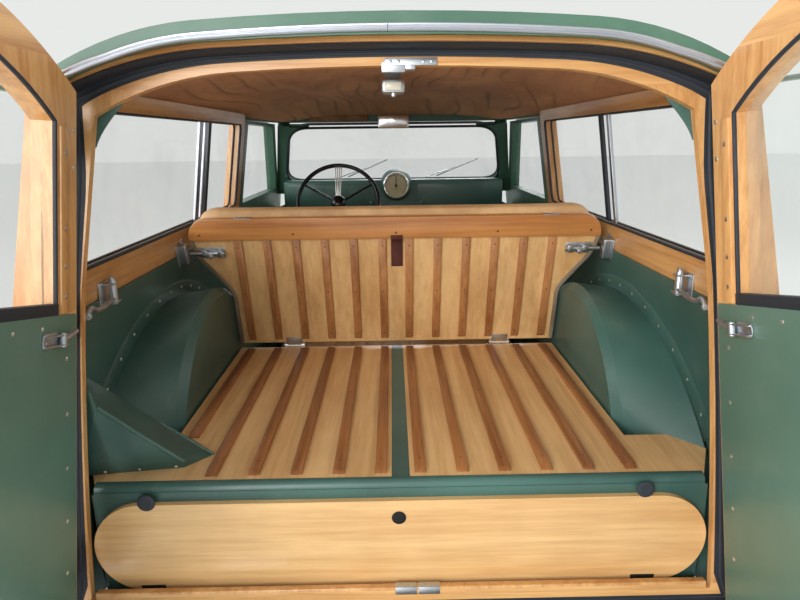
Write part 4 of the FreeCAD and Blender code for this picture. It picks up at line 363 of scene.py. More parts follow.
def lining(name, light, dark):
    """Headlining cloth: a close plain weave along and across the car, old water stains, and painted shade
    along its creases.
    """
    paint = Paint(name)
    warp = (paint.axis("X") * 2600.0).sine()
    weft = (paint.axis("Y") * 2600.0).sine()
    stains = paint.noise(1.0, 5.0, 0.6, paint.place((0, 0, 0), (5.0, 1.2, 5.0)), 0.8)
    fibre = paint.noise(1.0, 2.0, 0.6, paint.place((0, 0, 0), (160.0, 18.0, 160.0)))
    base = paint.mix(stains.ramp(0.34, 0.7), dark, light)
    # Painted shade: the crease attribute darkens the cloth along its folds.
    crease = paint.node("ShaderNodeAttribute", {"attribute_name": "crease"}, {}, 2)
    crease_shaded = paint.mix(crease * 0.6, base, tuple(c * 0.3 for c in dark))
    streaked = paint.mix(fibre.ramp(0.5, 0.75) * 0.25, crease_shaded, tuple(c * 1.2 for c in light))
    weave = warp * weft * 0.5 + fibre * 0.6
    return paint.finish(Base_Color=streaked, Roughness=stains * 0.1 + 0.82,
                        Normal=paint.bump(weave, 0.2, 0.0005))


reclined = grain("Z", (-SEAT_RECLINE, 0, 0))
ash_sides = timber_paint("ash_side_frame", ASH_LIGHT, ASH_DARK, frame_grain("Y", 0.322, 1.374, (0.99, 1.064)))
ash_hoop = timber_paint("ash_tail_frame", ASH_LIGHT, ASH_DARK, frame_grain("X", 0.46, 1.40, lean=TAIL_LEAN))
ash_doors = timber_paint("ash_tail_doors", ASH_LIGHT, ASH_DARK, frame_grain("Y", 0.505, 1.44, (0.955, 1.035)))
floor_ply = timber_paint("floor_plywood", PLY_LIGHT, PLY_DARK, grain("Y"), 0.42)
board_ply = timber_paint("spare_board_plywood", PLY_LIGHT, PLY_DARK, grain("X"), 0.36)
seat_ply = timber_paint("seat_back_plywood", PLY_LIGHT, PLY_DARK, reclined, 0.42)
body_green = green_paint("body_green_enamel", srgb(76, 112, 92), srgb(62, 98, 80), 0.42)
inner_green = green_paint("inner_green_enamel", srgb(66, 104, 94), srgb(50, 82, 75), 0.38, 0.14)
# Painted light: a lighter copy of the green enamel, for the tail doors' sheets as they show lit.
lit_sheet_green = green_paint("door_green_painted_lit", srgb(96, 132, 116), srgb(80, 116, 101), 0.4, 0.16)
wheel_green = green_paint("wheel_green_enamel", srgb(74, 116, 94), srgb(58, 98, 80), 0.34, 0.5)
chrome = plain_metal("bright_chrome", (0.78, 0.79, 0.8), 0.14, 0.12)
bright_steel = plain_metal("bright_steel", (0.62, 0.62, 0.6), 0.34, 0.4)
aluminium = plain_metal("aluminium_moulding", (0.56, 0.58, 0.63), 0.36, 0.2, (9.0, 300.0, 300.0))
zinc = plain_metal("zinc_plate", (0.5, 0.53, 0.56), 0.42, 0.3)
pale_screw = plain_metal("pale_screw", (0.85, 0.84, 0.8), 0.35, 0.2)
dark_screw = plain_metal("dark_screw", (0.16, 0.1, 0.06), 0.5, 0.4)
slat_wood = timber_paint("floor_slat_wood", SLAT_LIGHT, SLAT_DARK, grain("Y"), 0.4)
seat_slat_wood = timber_paint("seat_slat_wood", srgb(196, 136, 82), srgb(142, 88, 46), reclined, 0.4)
rail_wood = timber_paint("seat_rail_wood", srgb(204, 140, 78), srgb(160, 98, 48), grain("X"), 0.34)
edging_cloth = hide("edging_cloth", srgb(142, 128, 108), srgb(112, 98, 80), 0.7)
strap_red = hide("strap_red", srgb(96, 44, 34), srgb(66, 28, 24), 0.6)
lens_glass = dark_coat("lens_glass", srgb(214, 208, 190), 0.22, 90.0, 0.2)
mirror_glass = plain_metal("mirror_glass", (0.86, 0.87, 0.88), 0.16, 0.05)
visor_hide = hide("visor_hide", srgb(150, 112, 70), srgb(118, 84, 50), 0.6)
dial_cream = hide("dial_cream", srgb(206, 196, 160), srgb(178, 166, 128), 0.4)
headlining_cloth = lining("headlining_cloth", srgb(204, 146, 98), srgb(168, 114, 74))
plate_white = hide("blank_plate_enamel", srgb(216, 214, 204), srgb(196, 194, 184), 0.4)
# Painted shade: near-black for the dark inside holes.
shadow_black = dark_coat("hole_shade_black", srgb(8, 7, 6), 0.8)
rubber = dark_coat("black_rubber", srgb(34, 40, 48), 0.6)
tyre_black = dark_coat("tyre_rubber", srgb(26, 26, 26), 0.82, 240.0, 0.5)
chassis_black = dark_coat("chassis_black", srgb(28, 28, 28), 0.55, 90.0)
gloss_black = dark_coat("black_enamel", srgb(14, 14, 15), 0.24, 300.0, 0.08)
engine_green = green_paint("engine_enamel", srgb(62, 92, 78), srgb(46, 72, 62), 0.5, 0.8)
exhaust_metal = plain_metal("exhaust_steel", (0.3, 0.26, 0.22), 0.6, 0.8)
pane = window_pane("window_glass")
lamp_red = dark_coat("lamp_red_glass", srgb(120, 8, 8), 0.2, 200.0, 0.2)
seat_hide = hide("seat_hide", srgb(226, 186, 134), srgb(198, 156, 106))


def dress(material, *names):
    """Gives CAD nodes a finish."""
    for name in names:
        materials = NODES[name].data.materials
        materials.clear()
        materials.append(material)


dress(ash_sides, "timber_sides")
dress(ash_hoop, "rear_hoop")
dress(floor_ply, "load_floor_boards")
dress(board_ply, "spare_wheel_board")
dress(seat_ply, "seat_back_board")
dress(body_green, "roof", "bonnet", "front_wings", "rear_wings", "front_body", "side_panels", "grille")
dress(inner_green, "inner_arches", "side_linings", "filler_box", "floor_pan", "load_deck", "spare_well",
      "dashboard")
dress(pane, "windscreen", "side_windows")
dress(chassis_black, "front_suspension", "rear_axle", "propeller_shaft", "front_seat_irons", "fuel_tank")
dress(gloss_black, "steering_wheel", "steering_column")
dress(engine_green, "engine_and_gearbox")
dress(exhaust_metal, "exhaust")
dress(chrome, "front_bumper", "rear_bumpers", "headlamps")
dress(bright_steel, "seat_back_pivots")
dress(lamp_red, "tail_lamps")
for name, side in SIDES:
    dress(ash_doors, f"rear_door_{name}_frame")
    dress(lit_sheet_green, f"rear_door_{name}_panels")
    dress(body_green, f"door_{name}")
    dress(pane, f"door_{name}_glass", f"rear_door_{name}_glass")
    dress(chassis_black, f"knuckle_{name}")
    dress(wheel_green, f"wheel_front_{name}", f"wheel_rear_{name}")


# Surfaces: each new piece is gathered from grids of points worked out as arrays

def quads(rows, columns, round_rows=False, round_columns=False):
    """Faces between neighbours on a grid of rows by columns, closed on itself where round."""
    i, j = np.indices((rows - (not round_rows), columns - (not round_columns))).reshape(2, -1)
    down, right = (i + 1) % rows, (j + 1) % columns
    return np.stack((i * columns + j, down * columns + j, down * columns + right, i * columns + right), -1)


def unit(vectors):
    """Vectors of length one."""
    return vectors / np.linalg.norm(vectors, axis=-1, keepdims=True)


def rounded(width, height, radius, steps=3):
    """Closed outline of a rectangle about the origin, each corner an arc."""
    corners = []
    for turn, (x, y) in enumerate(((1, 1), (-1, 1), (-1, -1), (1, -1))):
        angle = np.linspace(0, math.pi / 2, steps + 1) + turn * math.pi / 2
        corners.append(np.stack((x * (width / 2 - radius) + radius * np.cos(angle),
                                 y * (height / 2 - radius) + radius * np.sin(angle)), -1))
    return np.concatenate(corners)


def ring(radius, sides=12):
    """Closed circle about the origin."""
    angle = np.arange(sides) * math.tau / sides
    return np.stack((radius * np.cos(angle), radius * np.sin(angle)), -1)


def smooth_path(points, steps=8):
    """Curve through points: cubic pieces whose slope at a point is half the step between its neighbours."""
    p = np.asarray(points, float)
    slope = np.gradient(p, axis=0)
    t = np.linspace(0, 1, steps, endpoint=False)[:, None]
    a, b, m, n = p[:-1, None], p[1:, None], slope[:-1, None], slope[1:, None]
    curve = a * (2 * t ** 3 - 3 * t ** 2 + 1) + m * (t ** 3 - 2 * t ** 2 + t) + b * (3 * t ** 2 - 2 * t ** 3)
    curve = curve + n * (t ** 3 - t ** 2)
    return np.concatenate((curve.reshape(-1, p.shape[1]), p[-1:]))


def arc(centre, radius, start, end, steps=8):
    """Points on a circle between two angles in degrees."""
    angle = np.radians(np.linspace(start, end, steps))
    return np.stack((centre[0] + radius * np.cos(angle), centre[1] + radius * np.sin(angle)), -1)


def round_corners(points, radius, steps=6):
    """Closed outline whose corners are cut by quadratic curves between points a radius away."""
    points = np.asarray(points, float)
    start = points + unit(np.roll(points, 1, 0) - points) * radius
    end = points + unit(np.roll(points, -1, 0) - points) * radius
    t = np.linspace(0, 1, steps)[None, :, None]
    curve = (1 - t) ** 2 * start[:, None] + 2 * t * (1 - t) * points[:, None] + t ** 2 * end[:, None]
    return curve.reshape(-1, 2)


def oblong(left, right, low, high, radius, steps=6):
    """Closed outline of a rectangle with rounded corners."""
    return round_corners([(left, low), (right, low), (right, high), (left, high)], radius, steps)


def divided(loop, steps):
    """Closed outline with each stretch between neighbours cut into equal steps."""
    following = np.roll(loop, -1, 0)
    return np.concatenate([np.linspace(a, b, steps, endpoint=False) for a, b in zip(loop, following)])


def at_depth(flat, depth):
    """Points of an outline of x and z, all at one depth."""
    return np.column_stack((flat[:, 0], np.full(len(flat), depth), flat[:, 1]))


class Form:
    """Points and faces of one piece, in millimetres in a part's own axes."""

    def __init__(self, place=car):
        self.place, self.points, self.faces, self.count = place, [], [], 0

    def add(self, points, faces):
        points = np.asarray(points, float).reshape(-1, 3)
        self.points.append(self.place(*points.T))
        self.faces += [[index + self.count for index in face] for face in np.asarray(faces).tolist()]
        self.count += len(points)

    def loft(self, sections, closed=False):
        """Skin over rows of closed outlines, capped at its two ends unless the rows close on themselves."""
        sections = np.asarray(sections, float)
        rows, columns = sections.shape[:2]
        start = self.count
        self.add(sections, quads(rows, columns, closed, True))
        if not closed:
            self.faces.append(list(range(start + columns - 1, start - 1, -1)))
            self.faces.append(list(range(start + (rows - 1) * columns, start + rows * columns)))
        return self

    def strip(self, path, outline, up=(0, 0, 1), closed=False):
        """Outline carried along a path: its first coordinate goes across the path, its second along up."""
        path, outline = np.asarray(path, float), np.asarray(outline, float)
        ahead = unit(np.roll(path, -1, 0) - np.roll(path, 1, 0) if closed else np.gradient(path, axis=0))
        across = unit(np.cross(ahead, np.asarray(up, float)))
        over = np.cross(across, ahead)
        sections = path[:, None] + outline[..., :1] * across[:, None] + outline[..., 1:] * over[:, None]
        return self.loft(sections, closed)

    def box(self, corner, opposite, radius=1.0, steps=2):
        """Block between two corners, its edges rounded by outlines set in over a quarter circle."""
        low, high = np.minimum(corner, opposite).astype(float), np.maximum(corner, opposite).astype(float)
        middle, size = (low + high) / 2, high - low
        radius = min(radius, size.min() / 2.01)
        angle = np.linspace(0, math.pi / 2, steps + 1)
        rise, inset = radius * (1 - np.cos(angle)), radius * (1 - np.sin(angle))
        rows = []
        heights = np.append(low[2] + rise, high[2] - rise[::-1])
        for height, edge in zip(heights, np.append(inset, inset[::-1])):
            flat = rounded(size[0] - 2 * edge, size[1] - 2 * edge, max(radius - edge, 0.02 * radius), steps)
            rows.append(np.column_stack((flat + middle[:2], np.full(len(flat), height))))
        return self.loft(rows)

    def turned(self, start, axis, profile, sides=20):
        """Profile of distance along and radius, turned about an axis through start."""
        axis = unit(np.asarray(axis, float))
        side = unit(np.cross(axis, (0.3, 0.5, 0.8) if abs(axis[2]) > 0.9 else (0, 0, 1)))
        over = np.cross(axis, side)
        along, radius = np.asarray(profile, float).T
        angle = np.arange(sides) * math.tau / sides
        round_ = np.cos(angle)[:, None] * side + np.sin(angle)[:, None] * over
        points = np.asarray(start, float) + along[:, None, None] * axis + radius[:, None, None] * round_[None]
        return self.loft(points)

    def screws(self, spots, axis, radius=3.6, proud=1.4):
        """Domed screw heads on spots, standing out along an axis."""
        dome = [(-0.6, radius), (0.25 * proud, radius), (0.8 * proud, 0.72 * radius), (proud, 0.3 * radius)]
        for spot in np.asarray(spots, float).reshape(-1, 3):
            self.turned(spot, axis, dome, 10)
        return self

    def make(self, name, body, slot, material, crease=38.0):
        """The finished mesh on its body: normals out, smooth but for edges sharper than crease degrees."""
        mesh = bpy.data.meshes.new(name)
        mesh.from_pydata(np.concatenate(self.points).tolist(), [], self.faces)
        turn_outwards(mesh)
        mesh.polygons.foreach_set("use_smooth", np.ones(len(mesh.polygons), bool))
        mesh.set_sharp_from_angle(angle=math.radians(crease))
        mesh.materials.append(material)
        piece = linked(name, mesh)
        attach(piece, body)
        return piece


def turn_outwards(mesh):
    """Turns a closed mesh's faces so that they all point out of it."""
    work = bmesh.new()
    work.from_mesh(mesh)
    bmesh.ops.recalc_face_normals(work, faces=work.faces)
    work.to_mesh(mesh)
    work.free()


def set_in(outline, distance):
    """Closed outline moved in along its mitred normals, whichever way round it runs."""
    outline = np.asarray(outline, float)
    before, after = unit(outline - np.roll(outline, 1, 0)), unit(np.roll(outline, -1, 0) - outline)
    normal = np.stack((-(before + after)[:, 1], (before + after)[:, 0]), -1)
    normal = normal / (1 + np.sum(before * after, -1, keepdims=True))
    x, y = outline.T
    way = np.sign(np.sum(x * np.roll(y, -1) - y * np.roll(x, -1)))
    return outline + way * distance * normal


def slab(form, outline, low, high, plane="xz", radius=1.5):
    """Plate with an outline in a plane, between two depths square to it, its edges rounded."""
    angle = np.linspace(0, math.pi / 2, 3)
    inset = radius * (1 - np.sin(angle))
    depth = radius * (1 - np.cos(angle)) * (1 if high > low else -1)
    rows = []
    for level, edge in zip(np.append(low + depth, high - depth[::-1]), np.append(inset, inset[::-1])):
        flat = set_in(outline, edge)
        lying = np.column_stack((flat, np.full(len(flat), level)))
        rows.append(at_depth(flat, level) if plane == "xz" else lying)
    return form.loft(rows)


# Outlines on the tail, as in the solid model: across and up the lean

def tail_up(z):
    """Distance up the lean of a height on the posts' rear face."""
    return (z - TAIL_FOOT.z / MM) / math.cos(TAIL_LEAN)


def hinge_edge(up):
    """Half width between the tail doors' hinge edges, which lean in towards the roof."""
    return TAIL_HALF_MM - up * math.tan(TAIL_TILT)


DOOR_GAP = 6.0
DOOR_FOOT, DOOR_WAIST, DOOR_TOP = 20.0, tail_up(1030), tail_up(1464)
DOOR_EAVES, DOOR_STILE = 72.0, 62.0
OPENING_FOOT, OPENING_TOP, OPENING_EAVES = 42.0, DOOR_TOP - 22.0, 80.0
OPENING_SIDE = ((OPENING_FOOT, 606.0), (tail_up(640), 602.0), (tail_up(1063), 577.0),
                (OPENING_TOP - OPENING_EAVES, 532.0))
SILL_TOP = OPENING_FOOT + 15.0
ROOF_BEHIND = 26.0
ROOF_REAR = (606.0, tail_up(1398), tail_up(1512.8))
SIDE_ROWS = ((250.0, 688.0), (640.0, 702.0), (1063.0, 672.0))
GUTTER, GUTTER_HALF = 1398.0, 620.0


def arch_up(x, half, low, crown):
    """Height of an arch: a flat arc over its middle and rounder arcs, tangent to it, down to its two ends."""
    x = np.minimum(np.abs(x), half)
    rise, flat = crown - low, 0.54 * half
    drop = 0.1 * rise
    slope = 2 * math.atan(drop / flat)
    chord = math.atan((rise - drop) / (half - flat))
    radius = math.hypot(rise - drop, half - flat) / (2 * math.sin(chord - slope))
    wide = flat / math.sin(slope)
    lean = np.clip(math.sin(slope) + (x - flat) / radius, 0, 0.999)
    outer = crown - drop - radius * (math.cos(slope) - np.sqrt(1 - lean ** 2))
    return np.where(x < flat, crown - wide + np.sqrt(wide ** 2 - x ** 2), outer)


def through(values, spots):
    """Parabola through three (place, value) pairs, worked out at values."""
    (a, p), (b, q), (c, r) = spots
    first = p * (values - b) * (values - c) / ((a - b) * (a - c))
    second = q * (values - a) * (values - c) / ((b - a) * (b - c))
    return first + second + r * (values - a) * (values - b) / ((c - a) * (c - b))


def body_side(z, inset=0.0):
    """Half width of the body side at a height: an arc up to the window sill, then straight to the gutter."""
    z = np.asarray(z, float)
    sill, sill_half = SIDE_ROWS[-1]
    upper = sill_half + (z - sill) * (GUTTER_HALF - sill_half) / (GUTTER - sill)
    return np.where(z < sill, through(z, SIDE_ROWS), upper) - inset


def on_face(side, inset, y, z):
    """Points on the body side, set in below its face."""
    return np.stack(np.broadcast_arrays(side * body_side(z, inset), y, z), -1)


def opening_side(up):
    """Half width of the tail opening: an arc up to the waist, then straight to its eaves."""
    upper = np.interp(up, *np.array(OPENING_SIDE[2:]).T)
    return np.where(up < OPENING_SIDE[2][0], through(up, OPENING_SIDE[:3]), upper)


WAIST_WALL = float(body_side(1000, 45.5))


def tail_loop(side, low, corner, crown):
    """Closed outline on the tail: up its right side, over its arch, down its left side, along the sill."""
    rise = np.linspace(low, corner, 28)
    right = np.stack((side(rise), rise), -1)
    x = right[-1, 0] * np.cos(np.linspace(0, math.pi, 61))[1:-1]
    arch = np.stack((x, arch_up(x, right[-1, 0], corner, crown)), -1)
    across = np.linspace(-right[0, 0], right[0, 0], 13)[1:-1]
    sill = np.stack((across, np.full(len(across), low)), -1)
    return np.concatenate((right, arch, right[::-1] * (-1, 1), sill))


OPENING_LOOP = tail_loop(opening_side, OPENING_FOOT, OPENING_TOP - OPENING_EAVES, OPENING_TOP)
REBATE_LOOP = tail_loop(lambda up: hinge_edge(up) + DOOR_GAP, DOOR_FOOT - DOOR_GAP,
                        DOOR_TOP + DOOR_GAP - DOOR_EAVES, DOOR_TOP + DOOR_GAP)


def make_door_seal():
    """Rubber seal round the rebate: a lining on its wall, a bead over its floor and a thin lip.

    Each point lies a share of the way from the rebate's edge to the opening's, less over the header and
    the sill, a few millimetres further in, at a depth ahead of the tail.
    """
    outline = ((0.0, 3.4, 6), (0.0, 2.2, 4.2), (0.0, 0.4, 5), (0.0, 0.1, 20), (0.0, 0.1, 45.9),
               (0.5, 0, 45.95), (0.87, 0, 45.95), (0.87, 0, 45.3), (0.66, 0, 45.2), (0.62, 0, 43.2),
               (0.54, 0, 42.3), (0.42, 0, 42.4), (0.32, 0, 43.2), (0.24, 0, 42.5), (0.0, 3.4, 42.7),
               (0.0, 3.6, 20))
    up = REBATE_LOOP[:, 1]
    reach = np.interp(up, (OPENING_TOP - OPENING_EAVES - 90, OPENING_TOP - 30), (1.0, 0.56))
    reach = np.where(up < OPENING_FOOT, 0.6, reach)[:, None]
    rows = [at_depth(set_in(REBATE_LOOP, inward) + share * reach * (OPENING_LOOP - REBATE_LOOP), depth)
            for share, inward, depth in outline]
    Form(tail).loft(np.stack(rows, 1), True).make("tail_seal", "body", "black_plastic", rubber, 50)


def make_roof_moulding():
    """Bright drip moulding under the roof's rear edge: a beaded outline along the arch, in two lengths."""
    drop = np.array((0, 0.4, 2.4, 4.4, 6.2, 7.4, 8.8, 10.4, 12.4, 13.8, 14.0, 14.0))
    out = np.array((0.2, 3.6, 5.6, 5.2, 3.0, 2.4, 3.0, 5.4, 6.2, 4.4, 2.4, 0.2))
    reach, narrowing, joint = 566.0, 470.0, -11.9
    form = Form(tail)
    for start, end in ((-reach, joint - 0.5), (joint + 0.5, reach)):
        x = np.linspace(start, end, 70)
        below = 23.0 - 9.0 * np.clip((np.abs(x) - narrowing) / (reach - narrowing), 0, 1)
        path = at_depth(np.stack((x, arch_up(x, *ROOF_REAR) - below), -1), -ROOF_BEHIND)
        along = unit(np.gradient(path, axis=0))
        down = np.stack((along[:, 2], np.zeros(len(x)), -along[:, 0]), -1)
        form.loft(path[:, None] + drop[:, None] * down[:, None] + out[:, None] * np.array((0, -1.0, 0)))
    form.make("roof_drip_moulding", "body", "bright_steel", aluminium, 30)


def make_striker():
    """Grey latch plate on the header with its tongue and screws, and two tabs on the sill."""
    top, tab_top = float(OPENING_TOP), SILL_TOP + 1.4
    plate = Form(tail)
    plate.box((-18, 42.6, top - 1), (74, 45.8, top + 12), 1.2)
    plate.box((18, 43, top - 8), (36, 58, top + 4), 2.0)
    plate.screws([(x, 42.8, top + 5.5) for x in (-8, 6, 50, 64)], BEHIND, 3.2, 1.0)
    for x in (7, 52):
        plate.box((x - 21, 43.0, OPENING_FOOT + 0.6), (x + 21, 44.4, tab_top), 0.6)
        plate.box((x - 21, 43.0, SILL_TOP - 0.2), (x + 21, 59.6, tab_top), 0.6)
        plate.screws([(x - 12, 52, SILL_TOP + 1.2), (x + 12, 52, SILL_TOP + 1.2)], (0, 0, 1), 3.2, 0.9)
    plate.make("tail_strikers", "body", "bright_steel", zinc)


def make_post_screws():
    """Screw heads down the tail posts' rebates."""
    form = Form(tail)
    for z in (1255, 1345, 900, 700):
        x = hinge_edge(tail_up(z)) + DOOR_GAP + 14
        form.screws([(x, 0, tail_up(z)), (-x, 0, tail_up(z))], BEHIND, 3.8, 1.2)
    form.make("tail_post_screws", "body", "bright_steel", bright_steel)


make_door_seal()
make_roof_moulding()
make_striker()
make_post_screws()

# Load floor: slats, spare board fittings, the steel lip behind the boards

LOAD_REAR, LOAD_FRONT = -722.0, 58.0
SLAT_WIDE, SLAT_HIGH, SLAT_FIRST, SLAT_STEP = 23.0, 9.0, 39.0, 84.0
SLAT_X = [side * (SLAT_FIRST + SLAT_STEP * k) for side in (-1, 1) for k in range(6)]


def slat(form, x, rear, front, lay=lambda a, b, c: (a, b, c), foot=0.0):
    """Slat with a rounded top: a low outline carried along it, sloped down over a chamfer at both ends."""
    chamfer = 13.0
    outline = rounded(SLAT_WIDE, SLAT_HIGH, 2.2, 2)
    rows = []
    for along, high in ((rear, 0.2), (rear + chamfer, 1), (front - chamfer, 1), (front, 0.2)):
        height = foot + (outline[:, 1] + SLAT_HIGH / 2) * high
        rows.append(np.stack(lay(x + outline[:, 0], np.full(len(outline), along), height), -1))
    form.loft(rows)


def make_floor_slats():
    """Twelve rubbing strips along the load floor, with three small screws each."""
    slats, dots = Form(), Form()
    for x in SLAT_X:
        rear = -545.0 if x < -440 else LOAD_REAR + 16
        slat(slats, x, rear, LOAD_FRONT - 18, foot=FLOOR_MM)
        spots = [(x, y, FLOOR_MM + SLAT_HIGH - 0.4)
                 for y in (rear + 42, (rear + LOAD_FRONT) / 2, LOAD_FRONT - 70)]
        dots.screws(spots, (0, 0, 1), 3.2, 0.5)
    slats.make("load_floor_slats", "body", "ash", slat_wood)
    dots.make("load_floor_screws", "body", "bright_steel", dark_screw)


def make_rear_lip():
    """Green lip over the deck's rear edge: a rounded fold that runs down to the spare board."""
    outline = np.array(((2, -6), (2, 1.5), (-3, 2.2), (-9, 0.6), (-13.5, -4), (-16, -11), (-17.5, -24),
                        (-15.5, -24.5), (-14, -12), (-11.6, -6), (-8, -1.6), (-3, -0.6)))
    y, z = (outline + (LOAD_REAR, FLOOR_MM)).T
    rows = [np.column_stack((np.full(len(outline), x), y, z)) for x in np.linspace(-592, 592, 40)]
    Form().loft(rows).make("load_floor_lip", "body", "body_green", inner_green, 60)


def make_corner_panels():
    """Green panels in the opening's lower corners, cut back in a hollow curve round the board's end."""
    form = Form()
    for side in (-1, 1):
        hollow = arc((504, 543), 100, 82, -86, 22)
        outline = np.concatenate((hollow, [(520, 438), (596, 438), (600, 520), (600, 600),
                                           (598, 655), (520, 655)]))
        slab(form, outline * (side, 1), -738.5, -735.5, "xz", 0.8)
    form.make("spare_corner_panels", "body", "body_green", inner_green)


def make_spare_board_fittings():
    """Two flat black knobs over the board's upper edge, and thin black plates of painted shade in its finger
    hole and in two slots at its foot.

    The knobs are low enough for the shut doors to clear them.
    """
    knobs, hole_shades = Form(), Form()
    face = -752.0
    profile = np.array(((-1, 16.8), (0.9, 17.4), (2.3, 16.8), (3.4, 14.5), (4.0, 10), (3.4, 6), (3.0, 2)))
    for x, z, proud in ((-488, 645, 1.0), (471, 654, 0.62)):
        knobs.turned((x, face, z), BEHIND, profile * (proud, 1), 36)
    knobs.make("spare_board_knobs", "body", "black_plastic", rubber)
    # Painted shade: black plates stand for the dark in the finger hole and the slots.
    hole_shades.turned((-5, face - 0.5, 602), BEHIND, ((-0.2, 14), (0.3, 14.0), (0.6, 13.4)), 28)
    for x, z in ((-495, 455), (481, 457)):
        hole_shades.box((x - 24, face - 1.2, z - 4.5), (x + 24, face + 0.1, z + 4.5), 1.0)
    hole_shades.make("spare_board_opening_shades", "body", "black_plastic", shadow_black)


def make_sill_strip():
    """Wood strip on the sill, between the seal and the spare board's foot."""
    form = Form(tail)
    form.box((-597, 43.8, OPENING_FOOT - 1), (597, 60.0, SILL_TOP), 2.0)
    form.make("tail_sill_strip", "body", "ash", ash_hoop)


# Wheel arches inside, and the box over the filler neck

ARCH_Y, ARCH_WALL_Z, ARCH_WALL_R = -128.0, 174.0, 706.0
WALL_IN = 50.0


def make_arch_flanges():
    """Flange round each arch on the side lining: a sector of a ring, with a row of screws."""
    plates, dots = Form(), Form()
    centre = (ARCH_Y, ARCH_WALL_Z)
    radii = ARCH_WALL_R + np.array((-7.0, 4.0, 36.0, 41.0))
    lift = (0.5, 3.2, 2.6, 0.3)
    for side in (-1, 1):
        rows = [on_face(side, WALL_IN + up, *arc(centre, out, 44, 134, 60).T)
                for out, up in list(zip(radii, lift)) + [(r, -1.5) for r in radii[::-1]]]
        plates.loft(np.stack(rows, 1))
        spots = on_face(side, WALL_IN + 2.8, *arc(centre, ARCH_WALL_R + 22, 48, 130, 13).T)
        dots.screws(spots, (-side, 0, 0.05), 4.2, 1.6)
    plates.make("arch_flanges", "body", "body_green", inner_green)
    dots.make("arch_flange_screws", "body", "bright_steel", pale_screw)


def make_filler_trim():
    """Bead along the filler box's ridge, a thinner one at its front, and the screws along its foot."""
    bead, dots = Form(), Form()
    foot = FLOOR_MM
    ridge = [(-436, -676, foot + 17), (-505, -693, foot + 84), (-574, -711, foot + 155)]
    bead.strip(smooth_path(ridge, 6), ring(4.0, 10))
    bead.strip(smooth_path([(-395, -619, foot + 2), (-500, -612, foot + 72)], 6), ring(2.5, 8))
    bead.make("filler_box_bead", "body", "body_green", inner_green)
    spots = [(-455, -671.5, foot + 6), (-525, -681, foot + 6), (-590, -690, foot + 6)]
    dots.screws(spots, (0.14, -1, 0.3), 3.8, 1.4)
    dots.make("filler_box_screws", "body", "bright_steel", pale_screw)


make_floor_slats()
make_rear_lip()
make_corner_panels()
make_spare_board_fittings()
make_sill_strip()
make_arch_flanges()
make_filler_trim()

# Rear backrest, in its own reclined axes, as the load space shows it

RAIL_FOOT, RAIL_TOP, RAIL_PROUD = 372.0, 439.5, 13.0
BOLT_UP = 332.0


def make_seat_slats():
    """Twelve slats up the back of the board, in line with those on the floor."""
    slats, dots = Form(seat), Form(seat)
    for x in SLAT_X:
        slat(slats, x, 22.0, RAIL_FOOT + 3, lambda a, b, c: (a, -c, b))
        dots.screws([(x, -SLAT_HIGH + 0.3, up) for up in (46, 196, 348)], BEHIND, 2.8, 0.6)
    slats.make("seat_back_slats", "seat_back", "ash", seat_slat_wood)
    dots.make("seat_back_slat_screws", "seat_back", "bright_steel", dark_screw)


def make_seat_rail():
    """Top rail with round upper corners, proud of the slats, its screws and two small plates on its edge."""
    rail, plates, dots = Form(seat), Form(seat), Form(seat)
    corner = arc((536, RAIL_TOP - 60), 60, 0, 90, 9)
    outline = np.concatenate(([(596, RAIL_FOOT)], corner, (corner * (-1, 1))[::-1], [(-596, RAIL_FOOT)]))
    slab(rail, outline, -RAIL_PROUD, -0.2, "xz", 3.0)
    rail.make("seat_back_rail", "seat_back", "ash", rail_wood)
    for low, high in ((-460, -409), (422, 467)):
        plates.box((low, -RAIL_PROUD + 1, RAIL_TOP - 1), (high, -1.5, RAIL_TOP + 1.4), 0.6)
    plates.make("seat_back_edge_plates", "seat_back", "bright_steel", zinc)
    dots.screws([(x, -RAIL_PROUD + 0.2, 391) for x in (-564, -295, 1, 295, 565)], BEHIND, 3.4, 0.9)
    dots.make("seat_back_rail_screws", "seat_back", "bright_steel", dark_screw)


def make_seat_edging():
    """Pale edging down both slanted sides of the board."""
    form = Form(seat)
    edge = np.array(((497, 14), (497, 110), (497.5, 185), (515, 222), (548, 268), (576, 306),
                     (590, 340), (598, 372)))
    path = smooth_path(edge, 5)
    for side in (-1, 1):
        rows = np.column_stack((side * (path[:, 0] - 3.5), np.full(len(path), 3.6), path[:, 1]))
        form.strip(rows, rounded(15.0, 13.0, 3.2, 3), (side, 0, 0.001))
    form.make("seat_back_edging", "seat_back", "seat_hide", edging_cloth)


